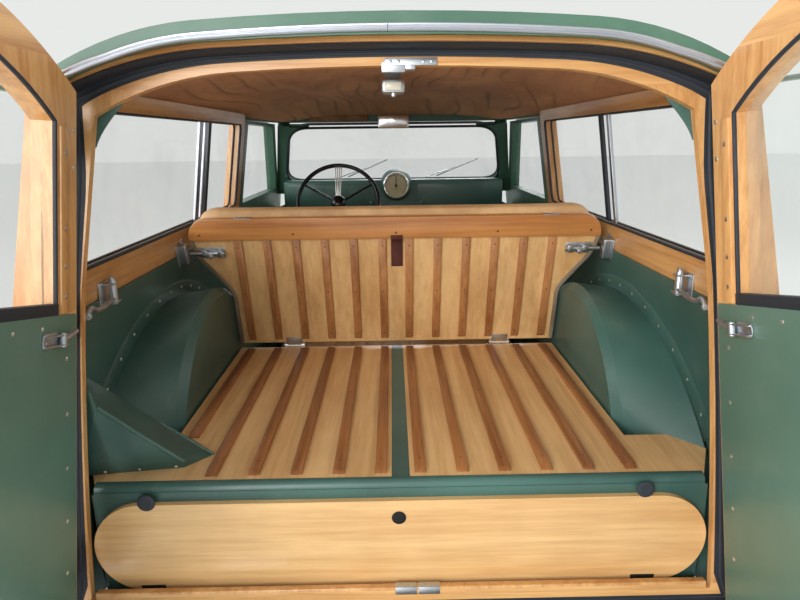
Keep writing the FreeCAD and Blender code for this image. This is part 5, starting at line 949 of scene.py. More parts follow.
def make_seat_fittings():
    """Hinge leaves with their knuckles, the dark strap, and a barrel bolt at each shoulder."""
    plates, strap, bolts = Form(seat), Form(seat), Form(seat)
    for x in (-328, 328):
        plates.box((x - 24, -6.4, -3), (x + 24, -4.6, 31), 0.8)
        plates.turned((x - 24, -3.5, -1), (1, 0, 0), ((0, 5.4), (48, 5.4)), 14)
        plates.screws([(x - 14, -6.2, 20), (x + 14, -6.2, 20)], BEHIND, 3.2, 0.9)
    plates.make("seat_back_hinge_leaves", "seat_back", "bright_steel", zinc)
    path = smooth_path([(3, -15.5, 384), (3, -14.6, 372), (3, -6.0, 358), (3, -4.0, 320), (3, -3.2, 279)], 5)
    strap.strip(path, rounded(34.0, 2.6, 1.0, 2), (0, -1, 0.1))
    strap.make("seat_back_strap", "seat_back", "seat_hide", strap_red)
    rod = ((0, 4), (2, 6.2), (98, 6.2), (102, 4.5))
    knob = ((0, 3.4), (12, 3.4), (13, 6.8), (19, 7.4), (23, 4.2))
    for side in (-1, 1):
        bolts.box((side * 500, -2.6, BOLT_UP - 16), (side * 584, 0, BOLT_UP + 16), 1.0)
        bolts.turned((side * 498, -10, BOLT_UP), (side, 0, 0), rod, 16)
        for along in (512, 556):
            bolts.box((side * along - 9, -17.5, BOLT_UP - 12), (side * along + 9, -1, BOLT_UP + 12), 4.0)
        bolts.turned((side * 535, -14, BOLT_UP), BEHIND, knob, 16)
        spots = [(side * (506 + 24 * k), -2.4, BOLT_UP + v) for k in range(4) for v in (-12.4, 12.4)]
        bolts.screws(spots, BEHIND, 2.4, 0.7)
    bolts.make("seat_back_bolts", "seat_back", "bright_steel", zinc)


def make_bolt_keepers():
    """Keeper for each barrel bolt, on the waist rail: a round-edged block on a plate with four screws."""
    form = Form(seat)
    for side in (-1, 1):
        form.box((side * 604.5, -25, BOLT_UP - 30), (side * (WAIST_WALL - 1.0), -2, BOLT_UP + 32), 5.0, 4)
        socket = ((-1, 10), (0.8, 10), (1.6, 8.8), (1.6, 7))
        form.turned((side * 605.0, -13, BOLT_UP), (-side, 0, 0), socket, 20)
        form.box((side * (WAIST_WALL - 4.5), -34, BOLT_UP - 34),
                 (side * (WAIST_WALL - 0.5), 26, BOLT_UP + 34), 1.5)
        spots = [(side * (WAIST_WALL - 4.2), y, BOLT_UP + v) for y in (-22, 14) for v in (-24, 24)]
        form.screws(spots, (-side, 0, 0), 4.0, 1.4)
    form.make("seat_bolt_keepers", "body", "bright_steel", zinc)


# Upholstery: each pad is an even skin over a rounded block, swollen by a little pressure

def even_skin(outline, thick, radius, voxel):
    """Mesh, in metres, of a rounded block with an outline, remeshed to even squares."""
    form = Form(own_axes)
    slab(form, outline, 0.0, thick, "xy", radius)
    mesh = bpy.data.meshes.new("skin")
    mesh.from_pydata(np.concatenate(form.points).tolist(), [], form.faces)
    thing = linked("skin", mesh)
    remesh = thing.modifiers.new("remesh", "REMESH")
    remesh.mode, remesh.voxel_size = "VOXEL", voxel * MM
    skin = bpy.data.meshes.new_from_object(thing.evaluated_get(bpy.context.evaluated_depsgraph_get()))
    bpy.data.objects.remove(thing)
    return skin


def corners_of(mesh):
    """Places of a mesh's points, in metres."""
    spots = np.empty(len(mesh.vertices) * 3)
    mesh.vertices.foreach_get("co", spots)
    return spots.reshape(-1, 3)


def swell(mesh, pressure, cap, frames=20):
    """Blows the skin up as cloth, without gravity, no point moving further than the cap, in millimetres."""
    scene = bpy.context.scene
    thing = linked("swelling", mesh)
    start = corners_of(mesh)
    cloth = thing.modifiers.new("cloth", "CLOTH")
    cloth.settings.quality = 4
    cloth.settings.use_pressure = True
    cloth.settings.uniform_pressure_force = pressure
    cloth.settings.effector_weights.gravity = 0.0
    cloth.point_cache.frame_start, cloth.point_cache.frame_end = 1, frames
    for number in range(1, frames + 1):
        scene.frame_set(number)
    blown = bpy.data.meshes.new_from_object(thing.evaluated_get(bpy.context.evaluated_depsgraph_get()))
    move = corners_of(blown) - start
    reach = np.linalg.norm(move, axis=1, keepdims=True)
    move *= np.minimum(1.0, cap * MM / np.maximum(reach, 1e-9))
    bpy.data.objects.remove(thing)
    bpy.data.meshes.remove(blown)
    scene.frame_set(1)
    return start + move


def make_pad(name, body, node, place, outline, thick, radius, shape, cap=13.0, voxel=9.0):
    """Upholstered pad: outline across and up, thickness towards its face; shape moves its points."""
    skin = even_skin(outline, thick, radius, voxel)
    spots = swell(skin, 4.0, cap)
    skin.vertices.foreach_set("co", place(*shape(spots / MM).T).ravel())
    turn_outwards(skin)
    skin.name = name
    skin.materials.clear()
    skin.materials.append(seat_hide)
    skin.polygons.foreach_set("use_smooth", np.ones(len(skin.polygons), bool))
    pad = linked(name, skin)
    finer = pad.modifiers.new("finer", "SUBSURF")
    finer.levels = finer.render_levels = 1
    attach(pad, body)
    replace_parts(pad, node)


def fade(values, start, over):
    """Nothing up to start, then evenly up to one over a distance; a negative one fades the other way."""
    return np.clip((values - start) / over, 0, 1)


def furrows(values, half, step, wide):
    """Sum of narrow bell curves, one at every step between minus half and half."""
    return np.exp(-((values[:, None] - np.arange(-half, half + 1, step)) / wide) ** 2).sum(1)


def shape_backrest(spots):
    """Level top, flutes down the seat side, and a tuck along the board."""
    x, up, front = spots.T
    up = up - front * math.tan(SEAT_RECLINE) * fade(up, 330, 120) ** 2
    inside = fade(np.abs(x), 500, -30) * fade(up, 70, 30) * fade(up, 400, -30)
    return np.stack((x, up, front - 6.0 * furrows(x, 480, 60, 8.0) * inside * fade(front, 60, 30)), -1)


def shape_cushion(spots):
    """Flutes along the cushion's upper face, and a border that falls to its front."""
    x, y, z = spots.T
    inside = fade(np.abs(x), np.abs(x).max() - 60, -30) * fade(np.minimum(y, y.max() - y), 50, 30)
    return np.stack((x, y, z - 6.0 * furrows(x, 480, 60, 8.0) * inside * fade(z, 0.6 * z.max(), 25)), -1)


def shape_front_backrest(spots):
    """Flutes down the front backrest's face."""
    x, up, front = spots.T
    inside = fade(np.abs(x), 150, -20) * fade(up, 70, 30) * fade(up, 390, -30)
    return np.stack((x, up, front - 5.0 * furrows(x, 150, 50, 7.0) * inside * fade(front, 34, 20)), -1)


def make_cushion(name, node, low, high):
    """Seat cushion in the box between two corners, set in for its swelling."""
    width, depth, height = high - low - 26.0
    middle = (low[0] + high[0]) / 2
    outline = oblong(-width / 2, width / 2, 0, depth, 44)
    make_pad(name, "body", node, lambda x, y, z: car(x + middle, y + low[1] + 13, z + low[2] + 3),
             outline, height + 12, 30.0, shape_cushion, 11.0)


def make_upholstery():
    """Rear backrest and cushion, and the two front seats."""
    half, rise, round_ = 592.0, 466.0, 64.0
    shoulder = arc((half - round_, rise - round_), round_, 0, 90, 7)
    right = np.concatenate(([(480, 30), (480, 186), (564, 306), (half, 366)], shoulder))
    outline = np.concatenate((right, (right * (-1, 1))[::-1]))
    make_pad("rear_backrest_pad", "seat_back", "seat_back_pad", lambda x, up, front: seat(x, front + 30, up),
             outline, 72.0, 26.0, shape_backrest)
    axle = np.array((0, AXLE_Y / MM, 0))
    make_cushion("rear_cushion_pad", "rear_cushion", *(corner - axle for corner in box_mm("rear_cushion")))
    tilt = Matrix.Rotation(math.radians(12), 3, "X")
    outline = round_corners([(-204, 16), (204, 16), (200, 330), (176, 452), (-176, 452), (-200, 330)], 46)
    for name, side in SIDES:
        middle = side * 300.0
        make_cushion(f"front_cushion_{name}", "front_seats", np.array((middle - 220, 770, 350)),
                     np.array((middle + 220, 1240, 500)))
        origin = car(middle, 770 - 95 / 3, 512)
        make_pad(f"front_backrest_{name}", "body", "front_seats",
                 lambda x, up, front: local(x, front + 14, up, tilt, origin),
                 outline, 66.0, 24.0, shape_front_backrest, 12.0)


make_seat_slats()
make_seat_rail()
make_seat_edging()
make_seat_fittings()
make_bolt_keepers()
make_upholstery()

# Cabin: headlining, rails and window channels, lamp, mirror, visor, dial and screen rubber

ROOF_ROWS = np.array(((-860, 600, 1490), (-450, 622, 1532), (350, 622, 1537), (950, 606, 1521),
                      (1327, 560, 1466)))
LINING_INSET, LINING_REAR, LINING_FRONT = 39.5, -640.0, 1294.0
WINDOW_FOOT, WINDOW_HEAD = 1066.0, 1372.0


def on_side(form, outline, outer, inner, side, radius=1.0):
    """Plate in the body side: an outline of y and z between two depths below the side's face."""
    rows = [on_face(side, inset, *set_in(outline, edge).T)
            for inset, edge in ((outer, radius), (outer + radius, 0), (inner - radius, 0), (inner, radius))]
    return form.loft(rows)


def lining_grid():
    """Points of the headlining, in millimetres, and how much painted shade darkens its creases.

    Each row is the roof's arch, set in. A crease is a narrow bell curve about each whole number of a wavy
    count across the roof, deeper in slow patches, and the cloth sags a little between its hoops.
    """
    across, along = np.linspace(-1, 1, 281), np.linspace(0, 1, 130)
    back = -LINING_REAR
    row_y = LINING_REAR + along * (LINING_FRONT + back)
    half, crown = (np.interp(row_y, ROOF_ROWS[:, 0], ROOF_ROWS[:, k]) - LINING_INSET for k in (1, 2))
    x = np.sin(across[None] * math.pi / 2) * half[:, None]
    y = np.broadcast_to(row_y[:, None], x.shape)
    z = np.stack([arch_up(x[row], half[row], GUTTER, crown[row]) for row in range(len(x))])
    spread = np.clip((y + back) / 300, 0, 1)
    lean = TAIL_FOOT.y / MM - AXLE_Y / MM + 63.0 / math.cos(TAIL_LEAN)
    y = y + (1 - spread) * (lean + (z - TAIL_FOOT.z / MM) * math.tan(TAIL_LEAN) + back)
    count = x / (62 + 0.012 * y) + 0.9 * np.sin(y / 420 + np.abs(x) / 190) + 0.25 * np.sin(y / 120 - x / 70)
    fold = np.exp(-(np.sin(math.pi * count) / 0.24) ** 2)
    patch = np.clip(0.5 + 0.5 * np.sin(y / 230 + x / 95) + 0.35 * np.sin(y / 95 - x / 60), 0, 1)
    hoops = 1 - np.abs(np.cos((y + 620) / 400 * math.pi)) ** 12
    edge = np.clip((half[:, None] - np.abs(x)) / 60, 0, 1) * np.clip((y + 690) / 60, 0, 1)
    return car(x, y, z - edge * (3.4 - 3.2 * fold * patch + 3.0 * hoops)), fold * patch * edge


def make_headlining():
    """Stretched cloth under the roof, its cut size measured along its own rows."""
    spots, crease = lining_grid()
    mesh = bpy.data.meshes.new("headlining_sheet")
    mesh.from_pydata(spots.reshape(-1, 3).tolist(), [], quads(*crease.shape).tolist())
    # The crease attribute carries painted shade for the cloth's colour.
    mesh.attributes.new("crease", "FLOAT", "POINT").data.foreach_set("value", crease.ravel())
    mesh.materials.append(headlining_cloth)
    mesh.polygons.foreach_set("use_smooth", np.ones(len(mesh.polygons), bool))
    cloth = linked("headlining_sheet", mesh)
    if mesh.polygons[len(mesh.polygons) // 2].normal.z > 0:
        mesh.flip_normals()
    wall = cloth.modifiers.new("thickness", "SOLIDIFY")
    wall.thickness, wall.offset = 0.0012, -1.0
    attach(cloth, "body")
    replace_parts(cloth, "headlining")
    across, along = (np.linalg.norm(np.diff(spots, axis=way), axis=2).sum(way) for way in (1, 0))


def make_top_rails():
    """Wood rails under the headlining's edges, green strips behind the windows and green corner gussets."""
    rails, strips, gussets = Form(), Form(), Form(tail)
    t = np.linspace(0, 1, 12)[:, None]
    start, middle, end = np.array(((462.0, 1003.0), (527.0, 942.0), (539.0, 905.0)))
    hollow = (1 - t) ** 2 * start + 2 * t * (1 - t) * middle + t ** 2 * end
    corner = np.concatenate((hollow, [(556, 905), (556, 958), (500, 1014), (464, 1020)]))
    strip = [(-634, WINDOW_FOOT), (-634, WINDOW_HEAD), (-612, WINDOW_HEAD), (-622, WINDOW_FOOT)]
    y = np.linspace(-590, 616, 30)
    for side in (-1, 1):
        rows = [on_face(side, inset, y, z) for inset, z in (
            (45.5, 1372), (45.5, 1394), (52, 1407), (60, 1408), (60, 1398), (54, 1376), (52, 1372))]
        rails.loft(np.stack(rows, 1))
        slab(gussets, corner * (side, 1), 60.5, 63.0, "xz", 0.6)
        on_side(strips, strip, 30.0, 50.0, side)
    rails.make("window_top_rails", "body", "ash", ash_sides)
    strips.make("window_rear_strips", "body", "body_green", inner_green)
    gussets.make("tail_corner_gussets", "body", "body_green", inner_green)


def make_window_channels():
    """Rubber round each side window, and the bright and black stiles where its sliding panes meet."""
    channel, stiles = Form(), Form()
    loop = divided(oblong(-626, 616, WINDOW_FOOT + 1, WINDOW_HEAD, 26, 5), 8)
    z = np.linspace(WINDOW_FOOT - 1, WINDOW_HEAD + 2, 12)
    bars = {-1: ((stiles, 186, 34), (stiles, 244, 34), (channel, 284, 16)),
            1: ((channel, 40, 24), (stiles, -22, 18))}
    for side in (-1, 1):
        for inset, thick in ((46.2, 4.4), (21.5, 3.4)):
            channel.strip(on_face(side, inset, *loop.T), ring(thick, 8), (side, 0, 0.15), True)
        for form, y, wide in bars[side]:
            form.strip(on_face(side, 25.5, y, z), rounded(wide, 9, 1.6, 2), (side, 0, 0.1))
    channel.make("side_window_rubbers", "body", "black_plastic", rubber)
    stiles.make("side_window_stiles", "body", "bright_steel", aluminium)


def make_roof_lamp():
    """Roof lamp: a foot on the header, a bent bracket, and the lamp with its lens."""
    lamp, lens = Form(), Form()
    lamp.box((-24, -644, 1424), (18, -630, 1442), 2.0)
    bracket = smooth_path([(-3, -636, 1439), (-3, -610, 1440), (-3, -570, 1436), (-3, -545, 1424)], 4)
    lamp.strip(bracket, rounded(30, 3, 1.2, 2), (0, 0, 1))
    lamp.box((-25, -560, 1396), (19, -500, 1420), 5.0)
    lens.box((-19, -566, 1400), (13, -558, 1416), 3.0)
    lamp.turned((-3, -555, 1396), (0, 0, -1), ((0, 6), (6, 6), (8, 4)), 16)
    lamp.make("roof_lamp", "body", "bright_steel", zinc)
    lens.make("roof_lamp_lens", "body", "window_glass", lens_glass)


def make_mirror_and_visor():
    """Mirror on its stalk from the screen's header, and the visor on the left."""
    shell, face, visor = Form(), Form(), Form()
    outline = oblong(-72, 78, 1360, 1424, 14)
    slab(shell, outline, 1247, 1259, "xz", 4.0)
    shell.strip([(3, 1256, 1396), (3, 1272, 1420), (3, 1290, 1446)], ring(4.5, 12), (1, 0, 0))
    shell.make("mirror_shell", "body", "bright_steel", chrome)
    slab(face, set_in(outline, 5), 1246.4, 1247.6, "xz", 0.4)
    face.make("mirror_face", "body", "bright_steel", mirror_glass)
    slab(visor, oblong(-408, -120, 1396, 1440, 12), 1278, 1289, "xz", 4.0)
    visor.make("sun_visor", "body", "seat_hide", visor_hide)


def make_dial():
    """The dial in its cowl: a bright ring, a cream face, one hand, and square marks round the scale."""
    cowl, rim, face, hands = Form(), Form(), Form(), Form()
    x, y, z = middle = (14.0, 1452.0, 1077.0)
    cowl.turned(middle, BEHIND, ((0, 84), (18, 80), (38, 73), (46, 70), (49, 66), (48, 62), (30, 61)), 64)
    rim.turned(middle, BEHIND, ((40, 69), (49.5, 68.5), (54, 65), (54.5, 62), (52, 59.5), (40, 59)), 64)
    face.turned(middle, BEHIND, ((30, 61), (44, 61), (44.5, 60)), 48)
    hands.box((x - 1.6, y - 46.5, z - 14), (x + 1.6, y - 45, z + 46), 0.6)
    hands.turned((x, y - 44, z), BEHIND, ((0, 7), (3, 6), (4, 3)), 20)
    for angle in np.radians(np.arange(-130, 131, 20)):
        spot = np.array((x + 52 * math.sin(angle), y - 45.2, z + 52 * math.cos(angle)))
        hands.box(spot - (2.2, 0.6, 2.2), spot + (2.2, 0.6, 2.2), 0.5)
    cowl.make("dial_cowl", "body", "body_green", inner_green)
    rim.make("dial_ring", "body", "bright_steel", chrome)
    face.make("dial_face", "body", "black_plastic", dial_cream)
    hands.make("dial_hands", "body", "black_plastic", gloss_black)


def make_dashboard_panels():
    """Flat panels either side of the dial, and a knob near each one's foot."""
    panels = Form()
    for left, right in ((-560, -96), (124, 560)):
        slab(panels, oblong(left, right, 972, 1088, 22), 1446.5, 1451, "xz", 2.0)
    for x in (-116, 144):
        panels.turned((x, 1447, 985), BEHIND, ((0, 12), (8, 12), (12, 9), (14, 4)), 20)
    panels.make("dashboard_panels", "body", "body_green", inner_green)


# Screen, in the plane of its frame: across, out along its normal, and up the slope

SCREEN_FOOT, SCREEN_HEAD = np.array((1585.0, 1075.0)), np.array((1342.0, 1398.0))
SCREEN_UP = unit(SCREEN_HEAD - SCREEN_FOOT)
SCREEN_LONG = float(np.linalg.norm(SCREEN_HEAD - SCREEN_FOOT))


def screen(x, out, up):
    """Point from the screen's axes; out is behind the frame's outer face, towards the cabin."""
    y = SCREEN_FOOT[0] + up * SCREEN_UP[0] - out * SCREEN_UP[1]
    z = SCREEN_FOOT[1] + up * SCREEN_UP[1] + out * SCREEN_UP[0]
    return car(x, y, z)


def make_screen():
    """Rubber round the screen on both faces, green fillets that round its corners inside, and the wipers."""
    rubbers, fillets, wipers = Form(screen), Form(screen), Form(screen)
    low, high, turn_points = 36.0, SCREEN_LONG - 12.0, 12
    foot, head = (582.0 - 74 * up / SCREEN_LONG for up in (low, high))
    square = np.array([(-foot, low), (foot, low), (head, high), (-head, high)])
    loop = round_corners(square, 96, turn_points)
    for out in (3.0, 34.0):
        rubbers.strip(at_depth(divided(loop, 6), out), ring(6.0, 10), (0, 1, 0), True)
    rubbers.make("screen_rubber", "body", "black_plastic", rubber)
    for tip, curve in zip(square, loop.reshape(4, turn_points, 2)):
        outline = np.concatenate((curve, [tip + unit(tip - square.mean(0)) * 8]))
        smaller = outline + (outline.mean(0) - outline) * 0.01
        fillets.loft([at_depth(smaller, 1.0), at_depth(outline, 2.0),
                      at_depth(outline, 32.0), at_depth(smaller, 33.0)])
    fillets.make("screen_corner_fillets", "body", "body_green", body_green, 60)
    for x in (-330.0, 150.0):
        wipers.turned((x, -2, 18), BEHIND, ((0, 12), (8, 11), (14, 7)), 20)
        wipers.strip([(x, -12, 18), (x + 90, -14, 60), (x + 196, -11, 104)], rounded(6, 3, 1, 1), BEHIND)
        blade = [(x + 86, -7, 46), (x + 196, -7, 104), (x + 300, -7, 160)]
        wipers.strip(blade, rounded(7, 5, 1, 1), BEHIND)
    wipers.make("screen_wipers", "body", "bright_steel", chrome)


def make_wheel_trim():
    """Four pale wires up from the steering wheel's boss to its rim, and the boss."""
    centre, rake = np.array((-265.0, 1130.0, 1020.0)), math.radians(28)
    ahead = np.array((0, math.cos(rake), -math.sin(rake)))
    up = np.array((0, math.sin(rake), math.cos(rake)))
    across = np.cross(up, ahead)
    wires, boss = Form(), Form()
    for shift in (-9, -3, 3, 9):
        path = [centre + across * shift * spread + up * out - ahead * back
                for spread, out, back in ((1.0, 26, 9), (1.4, 110, 12), (1.6, 188, 3))]
        wires.strip(path, ring(2.4, 8), ahead)
    boss.turned(centre - ahead * 4, -ahead, ((0, 34), (6, 34), (14, 30), (20, 20), (23, 8)), 32)
    wires.make("steering_wheel_wires", "steering_wheel", "bright_steel", pale_screw)
    boss.make("steering_wheel_boss", "steering_wheel", "black_plastic", gloss_black)


make_headlining()
make_top_rails()
make_window_channels()
make_roof_lamp()
make_mirror_and_visor()
make_dial()
make_dashboard_panels()
make_screen()
make_wheel_trim()

# Tail doors, drawn shut in the right door's axes and placed open on both sides

SHEET_FACE = 41.4
WINDOW_HIGH = DOOR_TOP - DOOR_STILE
WINDOW_CORNER = WINDOW_HIGH - DOOR_EAVES
WINDOW_LEFT = 3.0 + DOOR_STILE


def window_loop(grow=0.0):
    """Closed outline of a tail door's window, grown outwards."""
    low, corner = DOOR_WAIST, WINDOW_CORNER
    right, right_high = hinge_edge(low) - DOOR_STILE, hinge_edge(corner) - DOOR_STILE
    x = np.linspace(right_high, WINDOW_LEFT, 26)
    arch = np.stack((x, arch_up(x, right_high, corner, WINDOW_HIGH)), -1)
    side = np.linspace((right, low), (right_high, corner), 12)[:-1]
    left = np.linspace((WINDOW_LEFT, arch[-1, 1]), (WINDOW_LEFT, low), 12)[1:]
    foot = np.linspace((WINDOW_LEFT, low), (right, low), 12)[1:-1]
    return set_in(np.concatenate((side, arch, left, foot)), -grow)


def tail_door_rubbers(name, side):
    """Rubber round the window, and the black bar along its foot."""
    form = Form(tail_door(side))
    form.strip(at_depth(window_loop(1.5), 37.6), rounded(5.6, 7.0, 2.4, 2), AHEAD, True)
    low, right = DOOR_WAIST, hinge_edge(DOOR_WAIST) - DOOR_STILE
    outline = [(WINDOW_LEFT - 4, low - 1), (right + 4, low - 1),
               (right + 3, low + 17), (WINDOW_LEFT - 4, low + 17)]
    slab(form, outline, 25.0, SHEET_FACE + 0.4, "xz", 1.2)
    form.make(f"tail_door_rubbers_{name}", f"rear_door_{name}", "black_plastic", rubber)


def tail_door_sheet(name, side):
    """Green sheet over the lower half, in a lighter green that paints light on it, with screws round its
    edge, and two screws by the hinges.
    """
    sheet, dots = Form(tail_door(side)), Form(tail_door(side))
    high, low = DOOR_WAIST - 1.5, DOOR_FOOT + 4
    corners = [(7, low), (hinge_edge(low) - 3, low), (hinge_edge(high) - 3, high), (7, high)]
    outline = round_corners(corners, 5, 3)
    slab(sheet, outline, 39.6, SHEET_FACE, "xz", 0.7)
    sheet.make(f"tail_door_sheet_{name}", f"rear_door_{name}", "body_green", lit_sheet_green)
    rises = np.arange(low + 40, high - 60, 96)
    spots = [(x, SHEET_FACE, high - 19) for x in np.arange(50, hinge_edge(high) - 60, 74)]
    spots += [(hinge_edge(up) - 34, SHEET_FACE, up) for up in rises]
    spots += [(28, SHEET_FACE, up) for up in rises]
    spots += [(x, SHEET_FACE, low + 20) for x in np.arange(60, hinge_edge(low) - 60, 90)]
    dots.screws(spots, AHEAD, 3.6, 1.1)
    dots.screws([(hinge_edge(tail_up(z)) - 9, 40.0, tail_up(z)) for z in (1330, 1270)], AHEAD, 4.4, 1.3)
    dots.make(f"tail_door_sheet_screws_{name}", f"rear_door_{name}", "bright_steel", pale_screw)


def tail_door_stile(name, side):
    """Raised ash stile beside the window, with four screws."""
    stile, dots = Form(tail_door(side)), Form(tail_door(side))
    up = np.linspace(DOOR_WAIST + 2, WINDOW_CORNER - 4, 14)
    stile.strip(at_depth(np.stack((hinge_edge(up) - 43.0, up), -1), 41.6), rounded(24.0, 7.0, 1.6, 2), AHEAD)
    stile.make(f"tail_door_stile_{name}", f"rear_door_{name}", "ash", ash_doors)
    spots = [(hinge_edge(u) - 43, 45.0, u) for u in (up[0] + 26, up[0] + 76, up[6], up[-1] - 40)]
    dots.screws(spots, AHEAD, 4.2, 1.0)
    dots.make(f"tail_door_stile_screws_{name}", f"rear_door_{name}", "bright_steel", bright_steel)


def tail_door_stay_end(name, side):
    """Plate on the sheet, a fork with its pin, and the door's end of the stay rod."""
    form = Form(tail_door(side))
    up, back = 580.0, hinge_edge(580)
    plate = oblong(back - 108, back - 62, up - 13, up + 13, 11, 5)
    slab(form, plate, SHEET_FACE - 0.2, SHEET_FACE + 3.2, "xz", 1.0)
    form.screws([(back - 98, SHEET_FACE + 3, up - 4), (back - 84, SHEET_FACE + 3, up + 5)], AHEAD, 3.2, 1.0)
    for z in (up - 8, up + 8):
        form.strip([(back - 104, 47, z), (back - 60, 50, z), (back - 52, 51, z)], rounded(9, 2.6, 1, 2))
    form.turned((back - 60, 50, up - 12), (0, 0, 1), ((0, 5), (1, 6), (23, 6), (24, 5)), 16)
    form.strip([(back - 60, 50, up), (back - 44, 51.5, up + 5), (back - 25, 52, up + 12)], ring(4.4, 12))
    form.make(f"tail_door_stay_end_{name}", f"rear_door_{name}", "bright_steel", zinc)


def make_tail_door_outside():
    """Handle and escutcheon outside the right tail door, and the strip over the doors' meeting edges."""
    handle, strip = Form(tail_door(1)), Form(tail_door(1))
    up = DOOR_WAIST - 42
    slab(handle, oblong(14, 46, up - 60, up + 40, 14, 5), -3.4, 0.4, "xz", 1.4)
    handle.turned((30, 0, up), BEHIND, ((0, 12), (10, 9), (26, 8), (32, 9)), 20)
    grip = smooth_path([(28, -34, up + 4), (60, -37, up - 2), (96, -35, up - 9), (128, -31, up - 14)], 5)
    handle.strip(grip, rounded(13, 9, 4, 3), BEHIND)
    handle.turned((30, -1, up - 40), BEHIND, ((0, 9), (5, 9), (7, 6), (7.4, 2)), 20)
    handle.make("tail_door_handle", "rear_door_right", "bumper_chrome", chrome)
    rise = np.linspace(DOOR_FOOT + 8, DOOR_TOP - 74, 16)
    strip.strip(at_depth(np.stack((np.full(16, 16.5), rise), -1), -2.0), rounded(26, 4.6, 1.6, 2), BEHIND)
    strip.make("tail_door_meeting_strip", "rear_door_right", "ash", ash_doors)


def make_door_stays():
    """Stay rod on each waist rail: a bracket with a turned post, and a rod bent towards the tail post."""
    form = Form()
    wall = WAIST_WALL
    for side in (-1, 1):
        form.box((side * (wall - 5), -530, 968), (side * (wall - 0.4), -470, 1024), 1.6)
        for z in (976, 1016):
            form.box((side * (wall - 30), -512, z), (side * wall, -488, z + 4), 1.2)
        post = ((0, 6), (2, 8), (50, 8), (54, 6), (58, 6.5), (62, 4))
        form.turned((side * (wall - 20), -500, 972), (0, 0, 1), post, 20)
        spots = [(side * (wall - 4.6), y, z) for y in (-522, -478) for z in (978, 1014)]
        form.screws(spots, (-side, 0, 0), 3.6, 1.4)
        bends = np.array(((wall - 20, -500, 986), (606, -560, 984), (600, -606, 988), (596, -633, 999),
                          (587, -664, 999), (580, -683, 997)))
        path = smooth_path(bends * (side, 1, 1), 6)
        form.strip(path, ring(5.0, 14))
        form.turned(path[-1], (-0.2 * side, -1, 0), ((-6, 5), (-4, 6.6), (2, 6.6), (3.5, 5)), 16)
    form.make("tail_door_stays", "body", "bright_steel", zinc)


for name, side in SIDES:
    tail_door_rubbers(name, side)
    tail_door_sheet(name, side)
    tail_door_stile(name, side)
    tail_door_stay_end(name, side)
make_tail_door_outside()
make_door_stays()

# Outside: tyres, hub caps, lamps, grille surround, handles, rain rails, plates and caps

TREAD_HALF, TREAD_TURNS, TREAD_SLOTS = 48.0, 288, 48
GROOVE_DEEP, SLOT_DEEP = 7.0, 4.5
LAMP_X = 541.0


def tyre_profile(radius):
    """Across, radius and share of the slots' depth, from bead to bead over a tread with four ring grooves."""
    edges = np.array((0, 10, 10.5, 15.5, 16, 24, 35, 35.5, 40.5, 41, 44, TREAD_HALF))
    x = np.concatenate((-edges[:0:-1], edges))
    groove = np.isin(np.abs(x), (10.5, 15.5, 35.5, 40.5)) * GROOVE_DEEP
    tread = np.stack((x, radius - 0.6 - 2.6 * (x / TREAD_HALF) ** 2 - groove, np.ones(len(x))), -1)
    wall = np.array(((51.5, radius - 9, 1), (57, radius - 18, 1), (61.5, radius - 26, 0),
                     (61, radius - 30, 0), (64.5, 252, 0), (65.4, 240, 0), (64.8, 226, 0), (66, 222, 0),
                     (65.6, 216, 0), (62, 206, 0), (56, 194, 0), (50, 189.5, 0), (45, 179, 0),
                     (32, 178.6, 0)))
    return np.concatenate((wall[::-1] * (-1, 1, 1), tread, wall))


def make_tyre(node, body):
    """Cross-ply tyre: a turned profile whose tread is cut by ring grooves and by slots at even angles.

    The radius at a tread point falls by the slot's depth wherever its angle lies in a slot; the slots of
    the two shoulders are half a pitch apart.
    """
    low, high = box_mm(node)
    across, radius, share = tyre_profile((high[2] - low[2]) / 2).T
    angle = (np.arange(TREAD_TURNS) * math.tau / TREAD_TURNS)[:, None]
    phase = (angle / math.tau * TREAD_SLOTS + np.where(across > 0, 0.5, 0.0)) % 1.0
    slot = ((phase > 0.4) & (phase < 0.6)) * SLOT_DEEP * share * (np.abs(across) > 22)
    reach = radius - slot
    points = np.stack(np.broadcast_arrays(across, reach * np.cos(angle), reach * np.sin(angle)), -1)
    form = Form(own_axes)
    form.add(points + (low + high) / 2, quads(TREAD_TURNS, len(across), True, True))
    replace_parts(form.make(f"{node}_tread", body, "tyre_rubber", tyre_black, 34), node)


def make_hub(node, body, side):
    """Domed hub cap with a rolled edge, on its wheel, and the valve stem."""
    low, high = box_mm(node)
    middle = (low + high) / 2
    cap, valve = Form(own_axes), Form(own_axes)
    dome = ((-6, 76), (2, 80), (6, 82), (8, 80), (7, 76), (9, 70), (17, 56), (22, 40), (24, 30), (26, 28),
            (28, 20), (29, 8))
    cap.turned(middle + (side * 30, 0, 0), (side, 0, 0), dome, 64)
    cap.make(f"{node}_hub_cap", body, "bumper_chrome", chrome, 50)
    stem = ((0, 4.5), (14, 4), (16, 5), (24, 5), (26, 3.5))
    valve.turned(middle + (side * 24, 0, 132), (side, 0, -0.25), stem, 14)
    valve.make(f"{node}_valve", body, "black_plastic", rubber)


